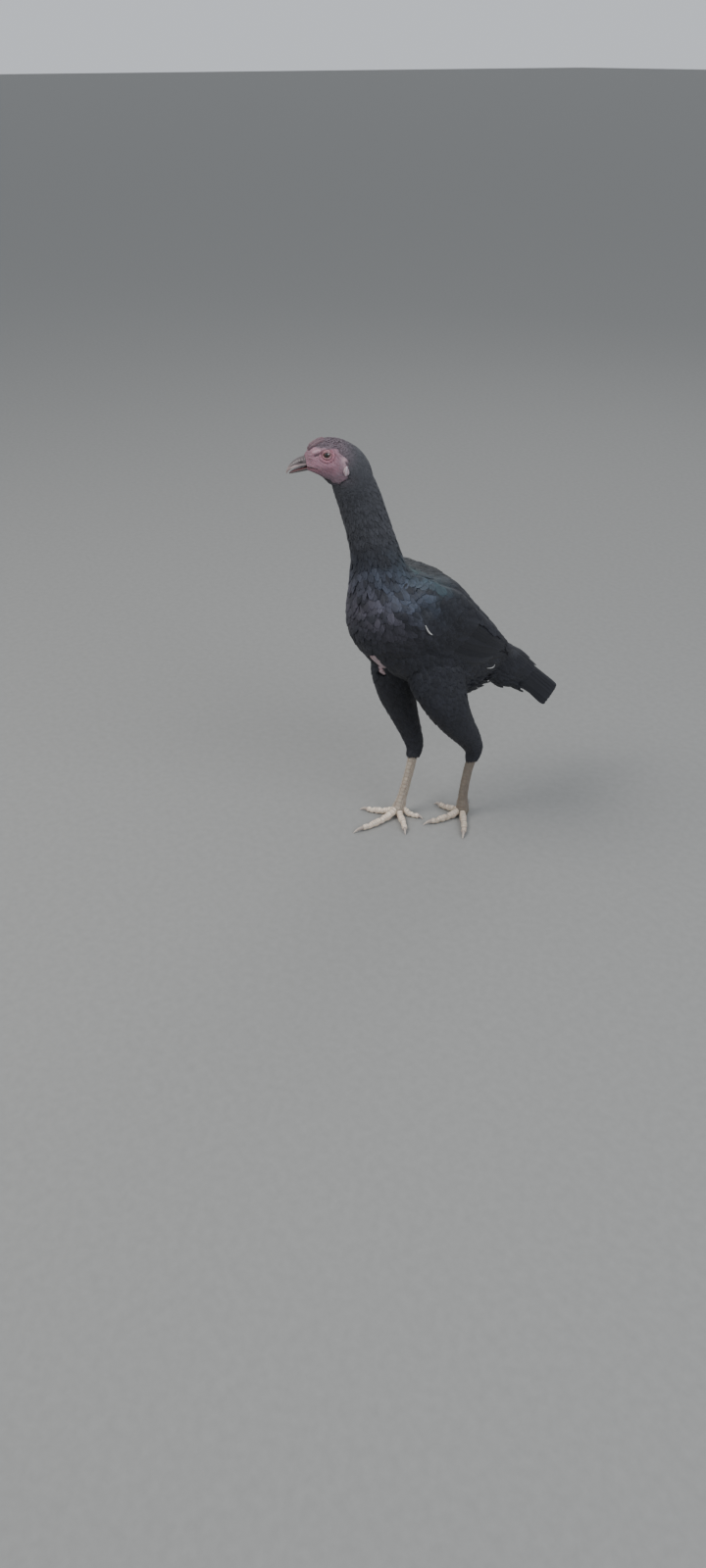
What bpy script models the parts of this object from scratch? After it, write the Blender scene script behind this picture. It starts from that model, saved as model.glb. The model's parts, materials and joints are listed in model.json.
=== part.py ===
"""A young o shamo hen, standing, as a still model at life size.

The bird faces -Y, its left side is +X and +Z is up. Lengths are in metres. Places on the bird are given as
forward, left and up from the point between the feet, and turned into world coordinates by place().

The trunk is one loft from the tail root to the top of the neck. At station t its ring is

    centre(t) + belly(t) * depth * cos(angle) + left * half_width * sin(angle)

where depth is the ring's belly depth on the lower half and its back depth on the upper one. Torso and neck
are two lengths of that loft, and wings, thighs and tail are laid on it and cut clear of it by the gap that
touching parts keep.
"""

import math

import bmesh
import bpy
import numpy as np

OBJECT = "o_shamo_hen"
GAP = 0.0003
# Nodes of flat vanes or stepped plates, left unsmoothed
SHEETS = ("wing", "tail", "shank", "toe")
SIDES = {"left": 1.0, "right": -1.0}

# Trunk stations from tail root to skull: forward, up, half width, belly depth, back depth
TRUNK = {
    "tail_root": (-0.125, 0.250, 0.018, 0.036, 0.015),
    "rump": (-0.096, 0.277, 0.036, 0.074, 0.019),
    "vent": (-0.056, 0.308, 0.051, 0.101, 0.032),
    "belly": (-0.006, 0.345, 0.059, 0.101, 0.046),
    "breast": (0.044, 0.385, 0.065, 0.103, 0.0545),
    "crop": (0.080, 0.420, 0.065, 0.093, 0.036),
    "neck_base": (0.100, 0.450, 0.045, 0.061, 0.023),
    "neck_low": (0.114, 0.482, 0.033, 0.039, 0.026),
    "neck_mid": (0.127, 0.518, 0.0280, 0.033, 0.026),
    "neck_high": (0.139, 0.550, 0.0265, 0.031, 0.026),
    "skull": (0.150, 0.577, 0.0255, 0.029, 0.0255),
}
TRUNK_ROWS = np.array(list(TRUNK.values()))
NECK_START = 6.4
KEEL_PINCH = 0.16
TRUNK_SIDES = 28

# Head stations from the neck joint to the beak base, from the pivot at the skull station:
# forward, up, lean of the ring (degrees, 90 faces straight ahead), half width, depth below, depth above
HEAD = (
    (0.0000, 0.0000, 22.0, 0.0258, 0.0290, 0.0260),
    (0.0040, 0.0115, 30.0, 0.0256, 0.0285, 0.0260),
    (0.0115, 0.0235, 48.0, 0.0245, 0.0298, 0.0255),
    (0.0235, 0.0315, 70.0, 0.0222, 0.0325, 0.0250),
    (0.0365, 0.0335, 90.0, 0.0195, 0.0278, 0.0240),
    (0.0485, 0.0315, 97.0, 0.0165, 0.0178, 0.0205),
    (0.0565, 0.0295, 98.0, 0.0125, 0.0115, 0.0145),
    (0.0610, 0.0285, 98.0, 0.0098, 0.0090, 0.0100),
)
HEAD_SIDES = 24
HEAD_YAW = math.radians(-25.0)
HEAD_PIVOT = TRUNK["skull"][:2]

# Beak stations from its base: forward, up, half width, height above, height below
BEAK_UPPER = (
    (0.0000, 0.0005, 0.0088, 0.0086, 0.0014),
    (0.0070, 0.0006, 0.0076, 0.0076, 0.0014),
    (0.0140, -0.0004, 0.0058, 0.0060, 0.0014),
    (0.0200, -0.0026, 0.0038, 0.0042, 0.0014),
    (0.0240, -0.0056, 0.0019, 0.0026, 0.0012),
)
BEAK_UPPER_TIP = (0.0260, -0.0092)
BEAK_LOWER = (
    (0.0000, -0.0044, 0.0080, 0.0012, 0.0046),
    (0.0070, -0.0052, 0.0068, 0.0010, 0.0040),
    (0.0140, -0.0062, 0.0050, 0.0009, 0.0031),
    (0.0190, -0.0074, 0.0030, 0.0007, 0.0021),
)
BEAK_LOWER_TIP = (0.0222, -0.0088)
BEAK_PITCH = math.radians(-8.0)

# Places on the head from the neck's top: forward, left, up
EYE_RADIUS = 0.0066
EYE_PLACE = (0.0362, 0.0136, 0.0415)
EYE_FACES = (0.20, 0.96, 0.16)
LID_OUT = 0.0042
LID_SIZE = (0.0060, 0.0052)
LID_THICK = 0.0014
NOSTRIL_PLACE = (0.0060, 0.0072, 0.0036)
NOSTRIL_SIZE = (0.0022, 0.0012, 0.0008)
MOUTH_PLACE = (0.0600, 0.0, 0.0262)
MOUTH_SIZE = (0.0110, 0.0200, 0.0005)
LOBE_SIZE = (0.0024, 0.0030, 0.0062)
LOBE_PLACE = (2.45, 82.0, 0.0010)

# Ridges on the head's surface: station and angle at both ends, radius, and their swell off the surface
BROW = ((5.25, 122.0), (4.25, 128.0), 0.0026, 0.0006)
CHEEK = ((5.30, 66.0), (4.10, 58.0), 0.0030, -0.0006)
COMB_ROWS = ((180.0, 5, 0.0030), (158.0, 4, 0.0023), (202.0, 4, 0.0023))
COMB_ENDS = (5.75, 4.35)

# Leg stations: forward, left, up, half length fore and aft, half width, for the left leg and the right leg
THIGHS = {
    "left": (
        (0.046, 0.030, 0.322, 0.034, 0.016),
        (0.034, 0.036, 0.280, 0.039, 0.020),
        (0.014, 0.042, 0.234, 0.034, 0.023),
        (-0.012, 0.040, 0.190, 0.0255, 0.020),
        (-0.039, 0.036, 0.153, 0.0190, 0.016),
        (-0.055, 0.033, 0.127, 0.0150, 0.0130),
        (-0.0555, 0.032, 0.111, 0.0118, 0.0108),
        (-0.0520, 0.031, 0.098, 0.0090, 0.0086),
    ),
    "right": (
        (0.068, -0.028, 0.320, 0.030, 0.016),
        (0.059, -0.034, 0.276, 0.034, 0.019),
        (0.044, -0.040, 0.226, 0.029, 0.022),
        (0.028, -0.039, 0.181, 0.0220, 0.019),
        (0.016, -0.036, 0.145, 0.0170, 0.0155),
        (0.010, -0.033, 0.120, 0.0142, 0.0125),
        (0.0125, -0.032, 0.105, 0.0115, 0.0108),
        (0.0160, -0.031, 0.092, 0.0090, 0.0086),
    ),
}
THIGH_SIDES = 14
THIGH_RINGS = 15
FEET = {"left": (-0.043, 0.030), "right": (0.042, -0.029)}
FOOT_HEIGHT = 0.011
# Shank radii from the cuff to the foot, fore and aft and across, at shares of its length
SHANK = (
    (0.00, 0.0080, 0.0076),
    (0.18, 0.0078, 0.0070),
    (0.50, 0.0076, 0.0066),
    (0.78, 0.0080, 0.0072),
    (0.92, 0.0098, 0.0098),
    (1.00, 0.0108, 0.0112),
)
SHANK_SIDES = 10

# Toes: angle from straight ahead (degrees, positive to the bird's left), length with the claw,
# root radius, end radius, joints
TOES = {
    "left": {
        "inner": (-66.0, 0.052, 0.0058, 0.0040, 2),
        "middle": (-8.0, 0.072, 0.0062, 0.0042, 3),
        "outer": (53.0, 0.068, 0.0058, 0.0040, 3),
        "hind": (-140.0, 0.046, 0.0050, 0.0036, 2),
    },
    "right": {
        "inner": (66.0, 0.058, 0.0058, 0.0040, 2),
        "middle": (2.0, 0.090, 0.0062, 0.0042, 3),
        "outer": (-45.0, 0.064, 0.0058, 0.0040, 3),
        "hind": (126.0, 0.043, 0.0050, 0.0036, 2),
    },
}
CLAW_SHARE = 0.20
TOE_SIDES = 8

# Tail stations from the root: along, half width, depth above, depth below
TAIL_ROOT = TRUNK["tail_root"][:2]
TAIL_SLOPE = math.radians(-42.0)
TAIL = (
    (0.000, 0.0130, 0.0180, 0.0325),
    (0.030, 0.0120, 0.0200, 0.0355),
    (0.060, 0.0085, 0.0190, 0.0255),
    (0.100, 0.0052, 0.0180, 0.0190),
    (0.140, 0.0032, 0.0180, 0.0215),
    (0.162, 0.0024, 0.0170, 0.0230),
)

# Edges of the folded wing on the trunk, in degrees round it, at trunk stations, from front to tip
WING_EDGES = (
    (6.05, 94.0, 119.0),
    (5.75, 82.0, 124.0),
    (5.10, 70.0, 129.0),
    (4.00, 64.0, 133.0),
    (3.00, 64.0, 132.0),
    (2.00, 72.0, 132.0),
    (1.20, 84.0, 132.0),
    (0.60, 100.0, 130.0),
    (0.30, 108.0, 127.0),
)

# Feathers lie in lanes, each lane over the one below it, and in tiers, each tier over the one it covers.
# Lift of the first lane, rise to the next lane, rise to the next tier, lanes, vane width in lanes
WING_SHEET = (0.0022, 0.0012, 0.0025, 6, 1.60)
TAIL_SHEET = (0.0008, 0.0011, 0.0024, 5, 1.60)
VANE_THICK = 0.0007
# Tiers: number of the sheet from the body outward, root station, tip station, first lane, lane after the
# last, and how much later the first lane's tip lies than the last lane's
WING_TIERS = (
    (0, 2.55, 0.30, 0, 5, 0.00),
    (1, 3.65, 1.25, 0, 6, 0.35),
    (2, 4.70, 2.95, 0, 6, 0.25),
    (3, 5.55, 4.05, 1, 6, 0.20),
)
TAIL_TIERS = (
    (0, 1.00, 5.00, 0, 5, 0.10),
    (1, 0.45, 2.30, 2, 5, 0.60),
)
TAIL_LANES = (42.0, 172.0)
FLUFF = ((14.0, 2.30, 0.0024), (30.0, 2.65, 0.0034), (46.0, 2.20, 0.0044))
# Share of the way along a vane, its width there and how far its edges lag behind its middle
VANE_LONG = ((0.0, 0.55, 0.0), (0.36, 1.0, 0.0), (0.86, 0.92, 0.02), (1.0, 0.40, 0.05))
VANE_SQUARE = ((0.0, 0.55, 0.0), (0.30, 1.0, 0.0), (0.66, 1.0, 0.0), (0.95, 0.96, 0.008), (1.0, 0.66, 0.012))
VANE_SHORT = ((0.0, 0.70, 0.0), (0.78, 1.0, 0.04), (1.0, 0.42, 0.12))
SHANK_SCUTES = 10
TOE_SCUTES = 5
SCUTE_RISE = 0.0007

COLOURS = {
    "feather": ((0.018, 0.019, 0.025), 0.38),
    "face": ((0.32, 0.16, 0.18), 0.55),
    "comb": ((0.20, 0.10, 0.12), 0.60),
    "lobe": ((0.60, 0.54, 0.56), 0.60),
    "beak": ((0.34, 0.27, 0.24), 0.42),
    "shank": ((0.52, 0.42, 0.34), 0.55),
    "claw": ((0.42, 0.34, 0.28), 0.40),
    "eye": ((0.10, 0.045, 0.02), 0.12),
}


def clear_scene():
    for obj in list(bpy.data.objects):
        bpy.data.objects.remove(obj, do_unlink=True)


def collection(name):
    made = bpy.data.collections.new(name)
    bpy.context.scene.collection.children.link(made)
    return made


def material(kind):
    if kind in bpy.data.materials:
        return bpy.data.materials[kind]
    colour, roughness = COLOURS[kind]
    made = bpy.data.materials.new(kind)
    made.use_nodes = True
    shader = made.node_tree.nodes["Principled BSDF"]
    shader.inputs["Base Color"].default_value = (*colour, 1.0)
    shader.inputs["Roughness"].default_value = roughness
    shader.inputs["Metallic"].default_value = 0.0
    return made


def place(forward, left, up):
    """World coordinates of a place on the bird; each value may be an array."""
    return np.stack(np.broadcast_arrays(np.asarray(left, float), -np.asarray(forward, float), up), axis=-1)


def along(rows, t):
    """Catmull-Rom curve through the rows, read at the row numbers t, whole or between."""
    rows = np.asarray(rows, float)
    t = np.clip(np.asarray(t, float), 0.0, len(rows) - 1.0)
    i = np.minimum(t.astype(int), len(rows) - 2)
    f = (t - i)[..., None]
    padded = np.vstack([2 * rows[0] - rows[1], rows, 2 * rows[-1] - rows[-2]])
    a, b, c, d = (padded[i + k] for k in range(4))
    return b + 0.5 * f * (c - a + f * (2 * a - 5 * b + 4 * c - d + f * (3 * (b - c) + d - a)))


def between(rows, x):
    """Values of the rows at x, where the first column of the rows runs up or down."""
    rows = np.asarray(rows, float)
    if rows[0, 0] > rows[-1, 0]:
        rows = rows[::-1]
    number = np.interp(x, rows[:, 0], np.arange(len(rows)))
    return along(rows, number)[..., 1:]


def smooth_step(x):
    x = np.clip(x, 0.0, 1.0)
    return x * x * (3.0 - 2.0 * x)


def trunk_ring(t, angle):
    """Point of the trunk at station t and angle round it, 0 at the belly and a quarter turn at the left."""
    t, angle = np.broadcast_arrays(np.asarray(t, float), np.asarray(angle, float))
    rows = along(TRUNK_ROWS, t)
    held = np.clip(t, 0.02, len(TRUNK) - 1.02)
    ahead = along(TRUNK_ROWS, held + 0.02)
    behind = along(TRUNK_ROWS, held - 0.02)
    axis = (ahead - behind)[..., :2]
    axis = axis / np.linalg.norm(axis, axis=-1, keepdims=True)
    down = np.stack([axis[..., 1], -axis[..., 0]], axis=-1)
    cos, sin = np.cos(angle), np.sin(angle)
    depth = np.where(cos > 0, rows[..., 3], rows[..., 4]) * cos
    width = rows[..., 2] * sin * (1.0 - KEEL_PINCH * cos)
    return place(rows[..., 0] + down[..., 0] * depth, width, rows[..., 1] + down[..., 1] * depth)


def lifted(surface, t, angle, lift):
    """Point at height lift over a surface that is read at t and angle."""
    if np.all(np.asarray(lift) == 0.0):
        return surface(t, angle)
    step_t, step_a = 0.03, 0.03
    by_t = surface(t + step_t, angle) - surface(t - step_t, angle)
    by_a = surface(t, angle + step_a) - surface(t, angle - step_a)
    normal = np.cross(by_t, by_a)
    normal /= np.linalg.norm(normal, axis=-1, keepdims=True)
    return surface(t, angle) + normal * np.asarray(lift, float)[..., None]


def trunk(t, angle, lift=0.0):
    return lifted(trunk_ring, np.asarray(t, float), np.asarray(angle, float), -np.asarray(lift, float))


def add_object(name, points, faces, group, kind=None):
    mesh = bpy.data.meshes.new(name)
    mesh.from_pydata([tuple(point) for point in points], [], faces)
    shell = bmesh.new()
    shell.from_mesh(mesh)
    bmesh.ops.recalc_face_normals(shell, faces=shell.faces)
    shell.to_mesh(mesh)
    shell.free()
    obj = bpy.data.objects.new(name, mesh)
    group.objects.link(obj)
    if kind:
        mesh.materials.append(material(kind))
    else:
        obj.display_type = "WIRE"
    return obj


def loft(name, rings, group, kind=None, tip=None):
    """Closed skin over rings of equal count, capped flat at both ends, or drawn to a tip."""
    rings = np.asarray(rings, float)
    count, sides = rings.shape[:2]
    points = list(rings.reshape(-1, 3))
    faces = []
    for ring in range(count - 1):
        low, high = ring * sides, (ring + 1) * sides
        for k in range(sides):
            after = (k + 1) % sides
            faces.append((low + k, low + after, high + after))
            faces.append((low + k, high + after, high + k))
    last = rings[-1].mean(axis=0) if tip is None else np.asarray(tip)
    for ring, middle in ((0, rings[0].mean(axis=0)), (count - 1, last)):
        points.append(middle)
        first = ring * sides
        for k in range(sides):
            faces.append((first + k, first + (k + 1) % sides, len(points) - 1))
    return add_object(name, points, faces, group, kind)


def apply_modifiers(obj):
    graph = bpy.context.evaluated_depsgraph_get()
    mesh = bpy.data.meshes.new_from_object(obj.evaluated_get(graph))
    old = obj.data
    obj.modifiers.clear()
    obj.data = mesh
    bpy.data.meshes.remove(old)


def boolean(obj, group, operation, solver="EXACT"):
    """Joins or cuts obj with every mesh of a collection, applies it and removes the collection's objects."""
    modifier = obj.modifiers.new(operation.lower(), "BOOLEAN")
    modifier.operation = operation
    modifier.operand_type = "COLLECTION"
    modifier.collection = group
    modifier.solver = solver
    apply_modifiers(obj)
    for piece in list(group.objects):
        bpy.data.objects.remove(piece, do_unlink=True)
    keep_largest(obj)


def keep_largest(obj):
    """Leaves only the closed surface that holds the most."""
    shell = bmesh.new()
    shell.from_mesh(obj.data)
    bmesh.ops.triangulate(shell, faces=shell.faces)
    left = set(shell.faces)
    islands = []
    while left:
        island, edge = set(), [left.pop()]
        while edge:
            face = edge.pop()
            island.add(face)
            for side in face.edges:
                if len(side.link_faces) != 2:
                    continue
                for other in side.link_faces:
                    if other in left:
                        left.discard(other)
                        edge.append(other)
        volume = sum(f.verts[0].co.dot(f.verts[1].co.cross(f.verts[2].co)) for f in island)
        islands.append((volume, island))
    islands.sort(key=lambda pair: pair[0])
    for _, island in islands[:-1]:
        bmesh.ops.delete(shell, geom=list(island), context="FACES")
    loose = [vert for vert in shell.verts if not vert.link_faces]
    bmesh.ops.delete(shell, geom=loose, context="VERTS")
    rims = [side for side in shell.edges if side.is_boundary]
    if rims:
        bmesh.ops.holes_fill(shell, edges=rims, sides=0)
        bmesh.ops.recalc_face_normals(shell, faces=shell.faces)
        bmesh.ops.triangulate(shell, faces=shell.faces)
    shell.to_mesh(obj.data)
    shell.free()


def ring_angles(sides):
    return np.arange(sides) * 2.0 * math.pi / sides


def trunk_loft(name, start, end, steps, group, kind=None, lift=0.0):
    stations = np.linspace(start, end, steps)[:, None]
    return loft(name, trunk(stations, ring_angles(TRUNK_SIDES)[None, :], lift), group, kind)


def torso(name, group, kind=None, lift=0.0):
    return trunk_loft(name, 0.0, NECK_START, 15, group, kind, lift)


def neck(name, group, kind=None, lift=0.0):
    return trunk_loft(name, NECK_START + 0.008, len(TRUNK) - 1.0, 10, group, kind, lift)


def head_frame(rows):
    """Centre, up side and left side of head rings, turned with the head about the neck's top."""
    turn = HEAD_YAW * smooth_step(rows[..., 0] / 0.030)
    lean = np.radians(rows[..., 2])
    ahead, up = rows[..., 0], rows[..., 1]
    rise = np.stack([-np.cos(lean), np.sin(lean)], axis=-1)
    return ahead, up, rise, turn


def head_at(forward, left, up, turn=HEAD_YAW):
    """World place of a point given from the neck's top in the head's own frame."""
    cos, sin = np.cos(turn), np.sin(turn)
    return place(HEAD_PIVOT[0] + forward * cos - left * sin, left * cos + forward * sin, HEAD_PIVOT[1] + up)


def head_ring(t, angle):
    """Point of the head at station t and angle round it, 0 at the throat and a quarter turn at the left."""
    t, angle = np.broadcast_arrays(np.asarray(t, float), np.asarray(angle, float))
    rows = along(HEAD, t)
    ahead, up, rise, turn = head_frame(rows)
    cos, sin = np.cos(angle), np.sin(angle)
    depth = np.where(cos > 0, rows[..., 4], rows[..., 5]) * -cos
    width = rows[..., 3] * sin
    return head_at(ahead + rise[..., 0] * depth, width, up + rise[..., 1] * depth, turn)


def head_skin(t, angle, lift=0.0):
    return lifted(head_ring, np.asarray(t, float), np.asarray(angle, float), -np.asarray(lift, float))


def head_loft(name, group, kind=None, lift=0.0):
    stations = np.linspace(0.02, len(HEAD) - 1.0, 20)[:, None]
    return loft(name, head_skin(stations, ring_angles(HEAD_SIDES)[None, :], lift), group, kind)


def beak_half(name, rows, tip, base, group):
    """One half of the beak, round above or below and flat on the side of the mouth."""
    sides = 12
    rings = []
    for forward, up, half_width, above, below in along(rows, np.linspace(0, len(rows) - 1, 9)):
        ring = []
        for angle in ring_angles(sides):
            cos, sin = math.cos(angle), math.sin(angle)
            high = above * abs(sin) ** 0.9 if sin > 0 else -below * abs(sin) ** 0.9
            ring.append((forward, half_width * cos, up + high))
        rings.append(ring)
    local = np.array(rings)
    point = np.array([tip[0], 0.0, tip[1]])

    def turned(p):
        f, u = p[..., 0], p[..., 2]
        ahead = f * math.cos(BEAK_PITCH) - u * math.sin(BEAK_PITCH)
        rise = f * math.sin(BEAK_PITCH) + u * math.cos(BEAK_PITCH)
        return head_at(base[0] + ahead, p[..., 1], base[1] + rise)

    return loft(name, turned(local), group, "beak", turned(point))


def ball(name, centre, size, group, kind=None, turn=None, segments=14, rings=9):
    """Ellipsoid with half sizes along the columns of turn, or along the axes."""
    shell = bmesh.new()
    bmesh.ops.create_uvsphere(shell, u_segments=segments, v_segments=rings, radius=1.0)
    turn = np.eye(3) if turn is None else np.asarray(turn, float)
    for vert in shell.verts:
        vert.co = np.asarray(centre) + turn @ (np.array(vert.co) * size)
    bmesh.ops.recalc_face_normals(shell, faces=shell.faces)
    mesh = bpy.data.meshes.new(name)
    shell.to_mesh(mesh)
    shell.free()
    obj = bpy.data.objects.new(name, mesh)
    group.objects.link(obj)
    if kind:
        mesh.materials.append(material(kind))
    else:
        obj.display_type = "WIRE"
    return obj


def ring_tube(name, centres, outs, radius, group):
    """Closed ring of tube through the centres, with its section set by the outward direction at each."""
    count = len(centres)
    sides = 6
    points, faces = [], []
    for k in range(count):
        run = centres[(k + 1) % count] - centres[k - 1]
        run /= np.linalg.norm(run)
        across = np.cross(run, outs[k])
        for angle in ring_angles(sides):
            points.append(centres[k] + radius * (math.cos(angle) * outs[k] + math.sin(angle) * across))
        for j in range(sides):
            low, high = k * sides, ((k + 1) % count) * sides
            faces.append((low + j, low + (j + 1) % sides, high + (j + 1) % sides, high + j))
    return add_object(name, points, faces, group)


def head_axes(side_sign):
    """Columns for the head's forward, outward and up directions in the world."""
    origin = head_at(0.0, 0.0, 0.0)
    steps = (head_at(1.0, 0.0, 0.0), head_at(0.0, side_sign, 0.0), head_at(0.0, 0.0, 1.0))
    return np.stack([step - origin for step in steps], axis=1)


def head_place(spot, sign):
    return head_at(spot[0], spot[1] * sign, spot[2])


def ridge(name, ends, sign, group):
    """Tapered swelling along the head's surface between two places on it."""
    (start, start_angle), (stop, stop_angle), radius, rise = ends
    shares = np.linspace(0.0, 1.0, 7)
    stations = start + (stop - start) * shares
    angles = np.radians(start_angle + (stop_angle - start_angle) * shares) * sign
    centres = head_skin(stations, angles, np.full(7, rise))
    outs = head_skin(stations, angles, np.full(7, rise + 0.001)) - centres
    runs = np.gradient(centres, axis=0)
    rings = []
    for centre, out, run, share in zip(centres, outs, runs, shares):
        out = out / np.linalg.norm(out)
        across = np.cross(out, run / np.linalg.norm(run))
        size = radius * (0.35 + 0.65 * math.sin(math.pi * share))
        turns = ring_angles(8)
        high, wide = np.cos(turns) * size, np.sin(turns) * size * 1.2
        rings.append(centre + np.outer(high, out) + np.outer(wide, across))
    return loft(name, rings, group)


def eye_axes(sign):
    """Columns for the fore, outward and upper directions of an eye in the world."""
    frame = head_axes(sign)
    out = frame @ (np.array(EYE_FACES) / np.linalg.norm(EYE_FACES))
    fore = frame[:, 0] - out * out.dot(frame[:, 0])
    fore /= np.linalg.norm(fore)
    upper = np.cross(out, fore)
    return fore, out, upper if upper[2] > 0 else -upper


def eyes_and_lids(head, parts, cutters):
    """Fuses brows, cheeks and lids to the head, then cuts the sockets, the mouth's line and its corner."""
    pieces = collection("pieces")
    for side, sign in SIDES.items():
        centre = head_place(EYE_PLACE, sign)
        fore, out, upper = eye_axes(sign)
        turns = ring_angles(16)
        rim = centre + out * LID_OUT + np.outer(np.cos(turns) * LID_SIZE[0], fore)
        rim = rim + np.outer(np.sin(turns) * LID_SIZE[1], upper)
        ring_tube("lids", rim, np.tile(out, (16, 1)), LID_THICK, pieces)
        ridge("brow", BROW, sign, pieces)
        ridge("cheek", CHEEK, sign, pieces)
    boolean(head, pieces, "UNION")
    bpy.data.collections.remove(pieces)
    for side, sign in SIDES.items():
        centre = head_place(EYE_PLACE, sign)
        ball("eye_" + side, centre, (EYE_RADIUS,) * 3, parts, "eye", None, 12, 8)
        ball("socket", centre, (EYE_RADIUS + GAP,) * 3, cutters, segments=12, rings=8)
    corner = head_place(MOUTH_PLACE, 1.0)
    ball("mouth", corner, MOUTH_SIZE, cutters, turn=head_axes(1.0), segments=12, rings=6)
    cut(head, cutters)


def comb(parts, cutters):
    """Low pea comb: three rows of small knobs on one base along the crown."""
    pieces = collection("pieces")
    shares = np.linspace(0.0, 1.0, 7)
    stations = COMB_ENDS[0] + (COMB_ENDS[1] - COMB_ENDS[0]) * shares
    rings = []
    for station, share in zip(stations, shares):
        swell = 0.45 + 0.55 * math.sin(math.pi * share)
        angles = np.radians(180.0 + np.linspace(-28.0, 28.0, 7) * swell)
        arch = np.cos(np.linspace(-1.35, 1.35, 7))
        over = head_skin(station, angles, 0.0016 * arch * swell + 0.0003)
        under = head_skin(station, angles[::-2], np.full(4, -0.003))
        rings.append(np.vstack([over, under]))
    base = loft("comb", rings, parts, "comb")
    for angle, count, size in COMB_ROWS:
        for k in range(count):
            share = (k + 0.5) / count
            station = COMB_ENDS[0] + (COMB_ENDS[1] - COMB_ENDS[0]) * share
            spread = 0.6 + 0.4 * math.sin(math.pi * share)
            spot = head_skin(station, math.radians(180.0 + (angle - 180.0) * spread), 0.0008)
            grown = size * (0.75 + 0.35 * math.sin(math.pi * share))
            ball("knob", spot, (grown * 0.85, grown * 0.85, grown), pieces, segments=5, rings=4)
    boolean(base, pieces, "UNION")
    bpy.data.collections.remove(pieces)
    head_loft("clear", cutters, lift=GAP)
    cut(base, cutters)


def earlobe(side, parts, cutters):
    """Flat hanging lobe of two folds against the side of the head."""
    sign = SIDES[side]
    pieces = collection("pieces")
    station, angle, rise = LOBE_PLACE
    centre = head_skin(station, sign * math.radians(angle), rise)
    out = head_skin(station, sign * math.radians(angle), rise + 0.001) - centre
    out /= np.linalg.norm(out)
    upper = np.array([0.0, 0.0, 1.0])
    upper = upper - out * upper.dot(out)
    upper /= np.linalg.norm(upper)
    fore = np.cross(out, upper) * sign
    frame = np.stack([fore, out, upper], axis=1)
    lobe = ball("earlobe_" + side, centre - fore * 0.0012, LOBE_SIZE, parts, "lobe", frame, 12, 8)
    fold = (LOBE_SIZE[0] * 0.9, LOBE_SIZE[1], LOBE_SIZE[2] * 0.8)
    ball("fold", centre + fore * 0.0016 + upper * 0.0012, fold, pieces, None, frame, 10, 7)
    boolean(lobe, pieces, "UNION")
    bpy.data.collections.remove(pieces)
    head_loft("clear", cutters, lift=GAP)
    cut(lobe, cutters)
    return lobe


def leg_ring(centre, axis, half_fore, half_side, angles):
    """Ring square to a leg's axis, with angle 0 facing ahead."""
    axis = axis / np.linalg.norm(axis)
    side = np.array([1.0, 0.0, 0.0])
    side = side - axis * side.dot(axis)
    side /= np.linalg.norm(side)
    fore = np.cross(side, axis)
    if fore[1] > 0:
        fore = -fore
    return centre + np.outer(np.cos(angles) * half_fore, fore) + np.outer(np.sin(angles) * half_side, side)


def thigh_line(side):
    """Rows, centres and axes of the thigh's rings, down to the feathers' end below the hock."""
    rows = along(THIGHS[side], np.linspace(0, len(THIGHS[side]) - 1, THIGH_RINGS))
    centres = place(rows[:, 0], rows[:, 1], rows[:, 2])
    return rows, centres, np.gradient(centres, axis=0)


def thigh(side, group, kind=None, lift=0.0):
    rows, centres, axes = thigh_line(side)
    angles = ring_angles(THIGH_SIDES)
    rings = [leg_ring(c, a, r[3] + lift, r[4] + lift, angles) for c, a, r in zip(centres, axes, rows)]
    return loft("thigh_" + side, rings, group, kind)


def shank_axis(side):
    """Ends of the shank: where the cuff stops and over the foot's middle."""
    _, centres, axes = thigh_line(side)
    foot = place(*FEET[side], FOOT_HEIGHT)
    return centres[-1], foot, axes[-1] / np.linalg.norm(axes[-1])


def scute_steps(count):
    """Shares along a shank or toe for two rings a scute, and the rise of each ring's front."""
    step = 1.0 / count
    shares, raised = [0.0], [0.0]
    for k in range(1, count):
        shares += [k * step - 0.08 * step, k * step + 0.08 * step]
        raised += [SCUTE_RISE, 0.0001]
    return np.array(shares + [1.0]), np.array(raised + [0.0])


def shank(side, group, kind=None, lift=0.0):
    top, foot, leave = shank_axis(side)
    shares, raised = scute_steps(SHANK_SCUTES)
    radii = between(SHANK, shares)
    length = np.linalg.norm(foot - top)
    start = top + leave * GAP
    middle = top + leave * length * 0.4
    line = [(1 - s) ** 2 * start + 2 * s * (1 - s) * middle + s * s * foot for s in shares]
    centres = np.array(line)
    axes = np.gradient(centres, axis=0)
    axes[0] = leave
    angles = ring_angles(SHANK_SIDES)
    front = np.clip(np.cos(angles) * 1.6 + 0.3, 0.0, 1.0)
    rings = []
    for centre, axis, radius, rise in zip(centres, axes, radii, raised):
        swell = lift + rise * front
        rings.append(leg_ring(centre, axis, radius[0] + swell, radius[1] + swell, angles))
    sole = np.array(rings[-1])
    sole[:, 2] = 0.002
    sole[:, :2] = foot[:2] + (sole[:, :2] - foot[:2]) * 0.85
    rings.append(sole)
    made = loft("shank_" + side, rings, group, kind)
    for vert in made.data.vertices:
        vert.co.z = max(vert.co.z, 0.0)
    return made


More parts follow.
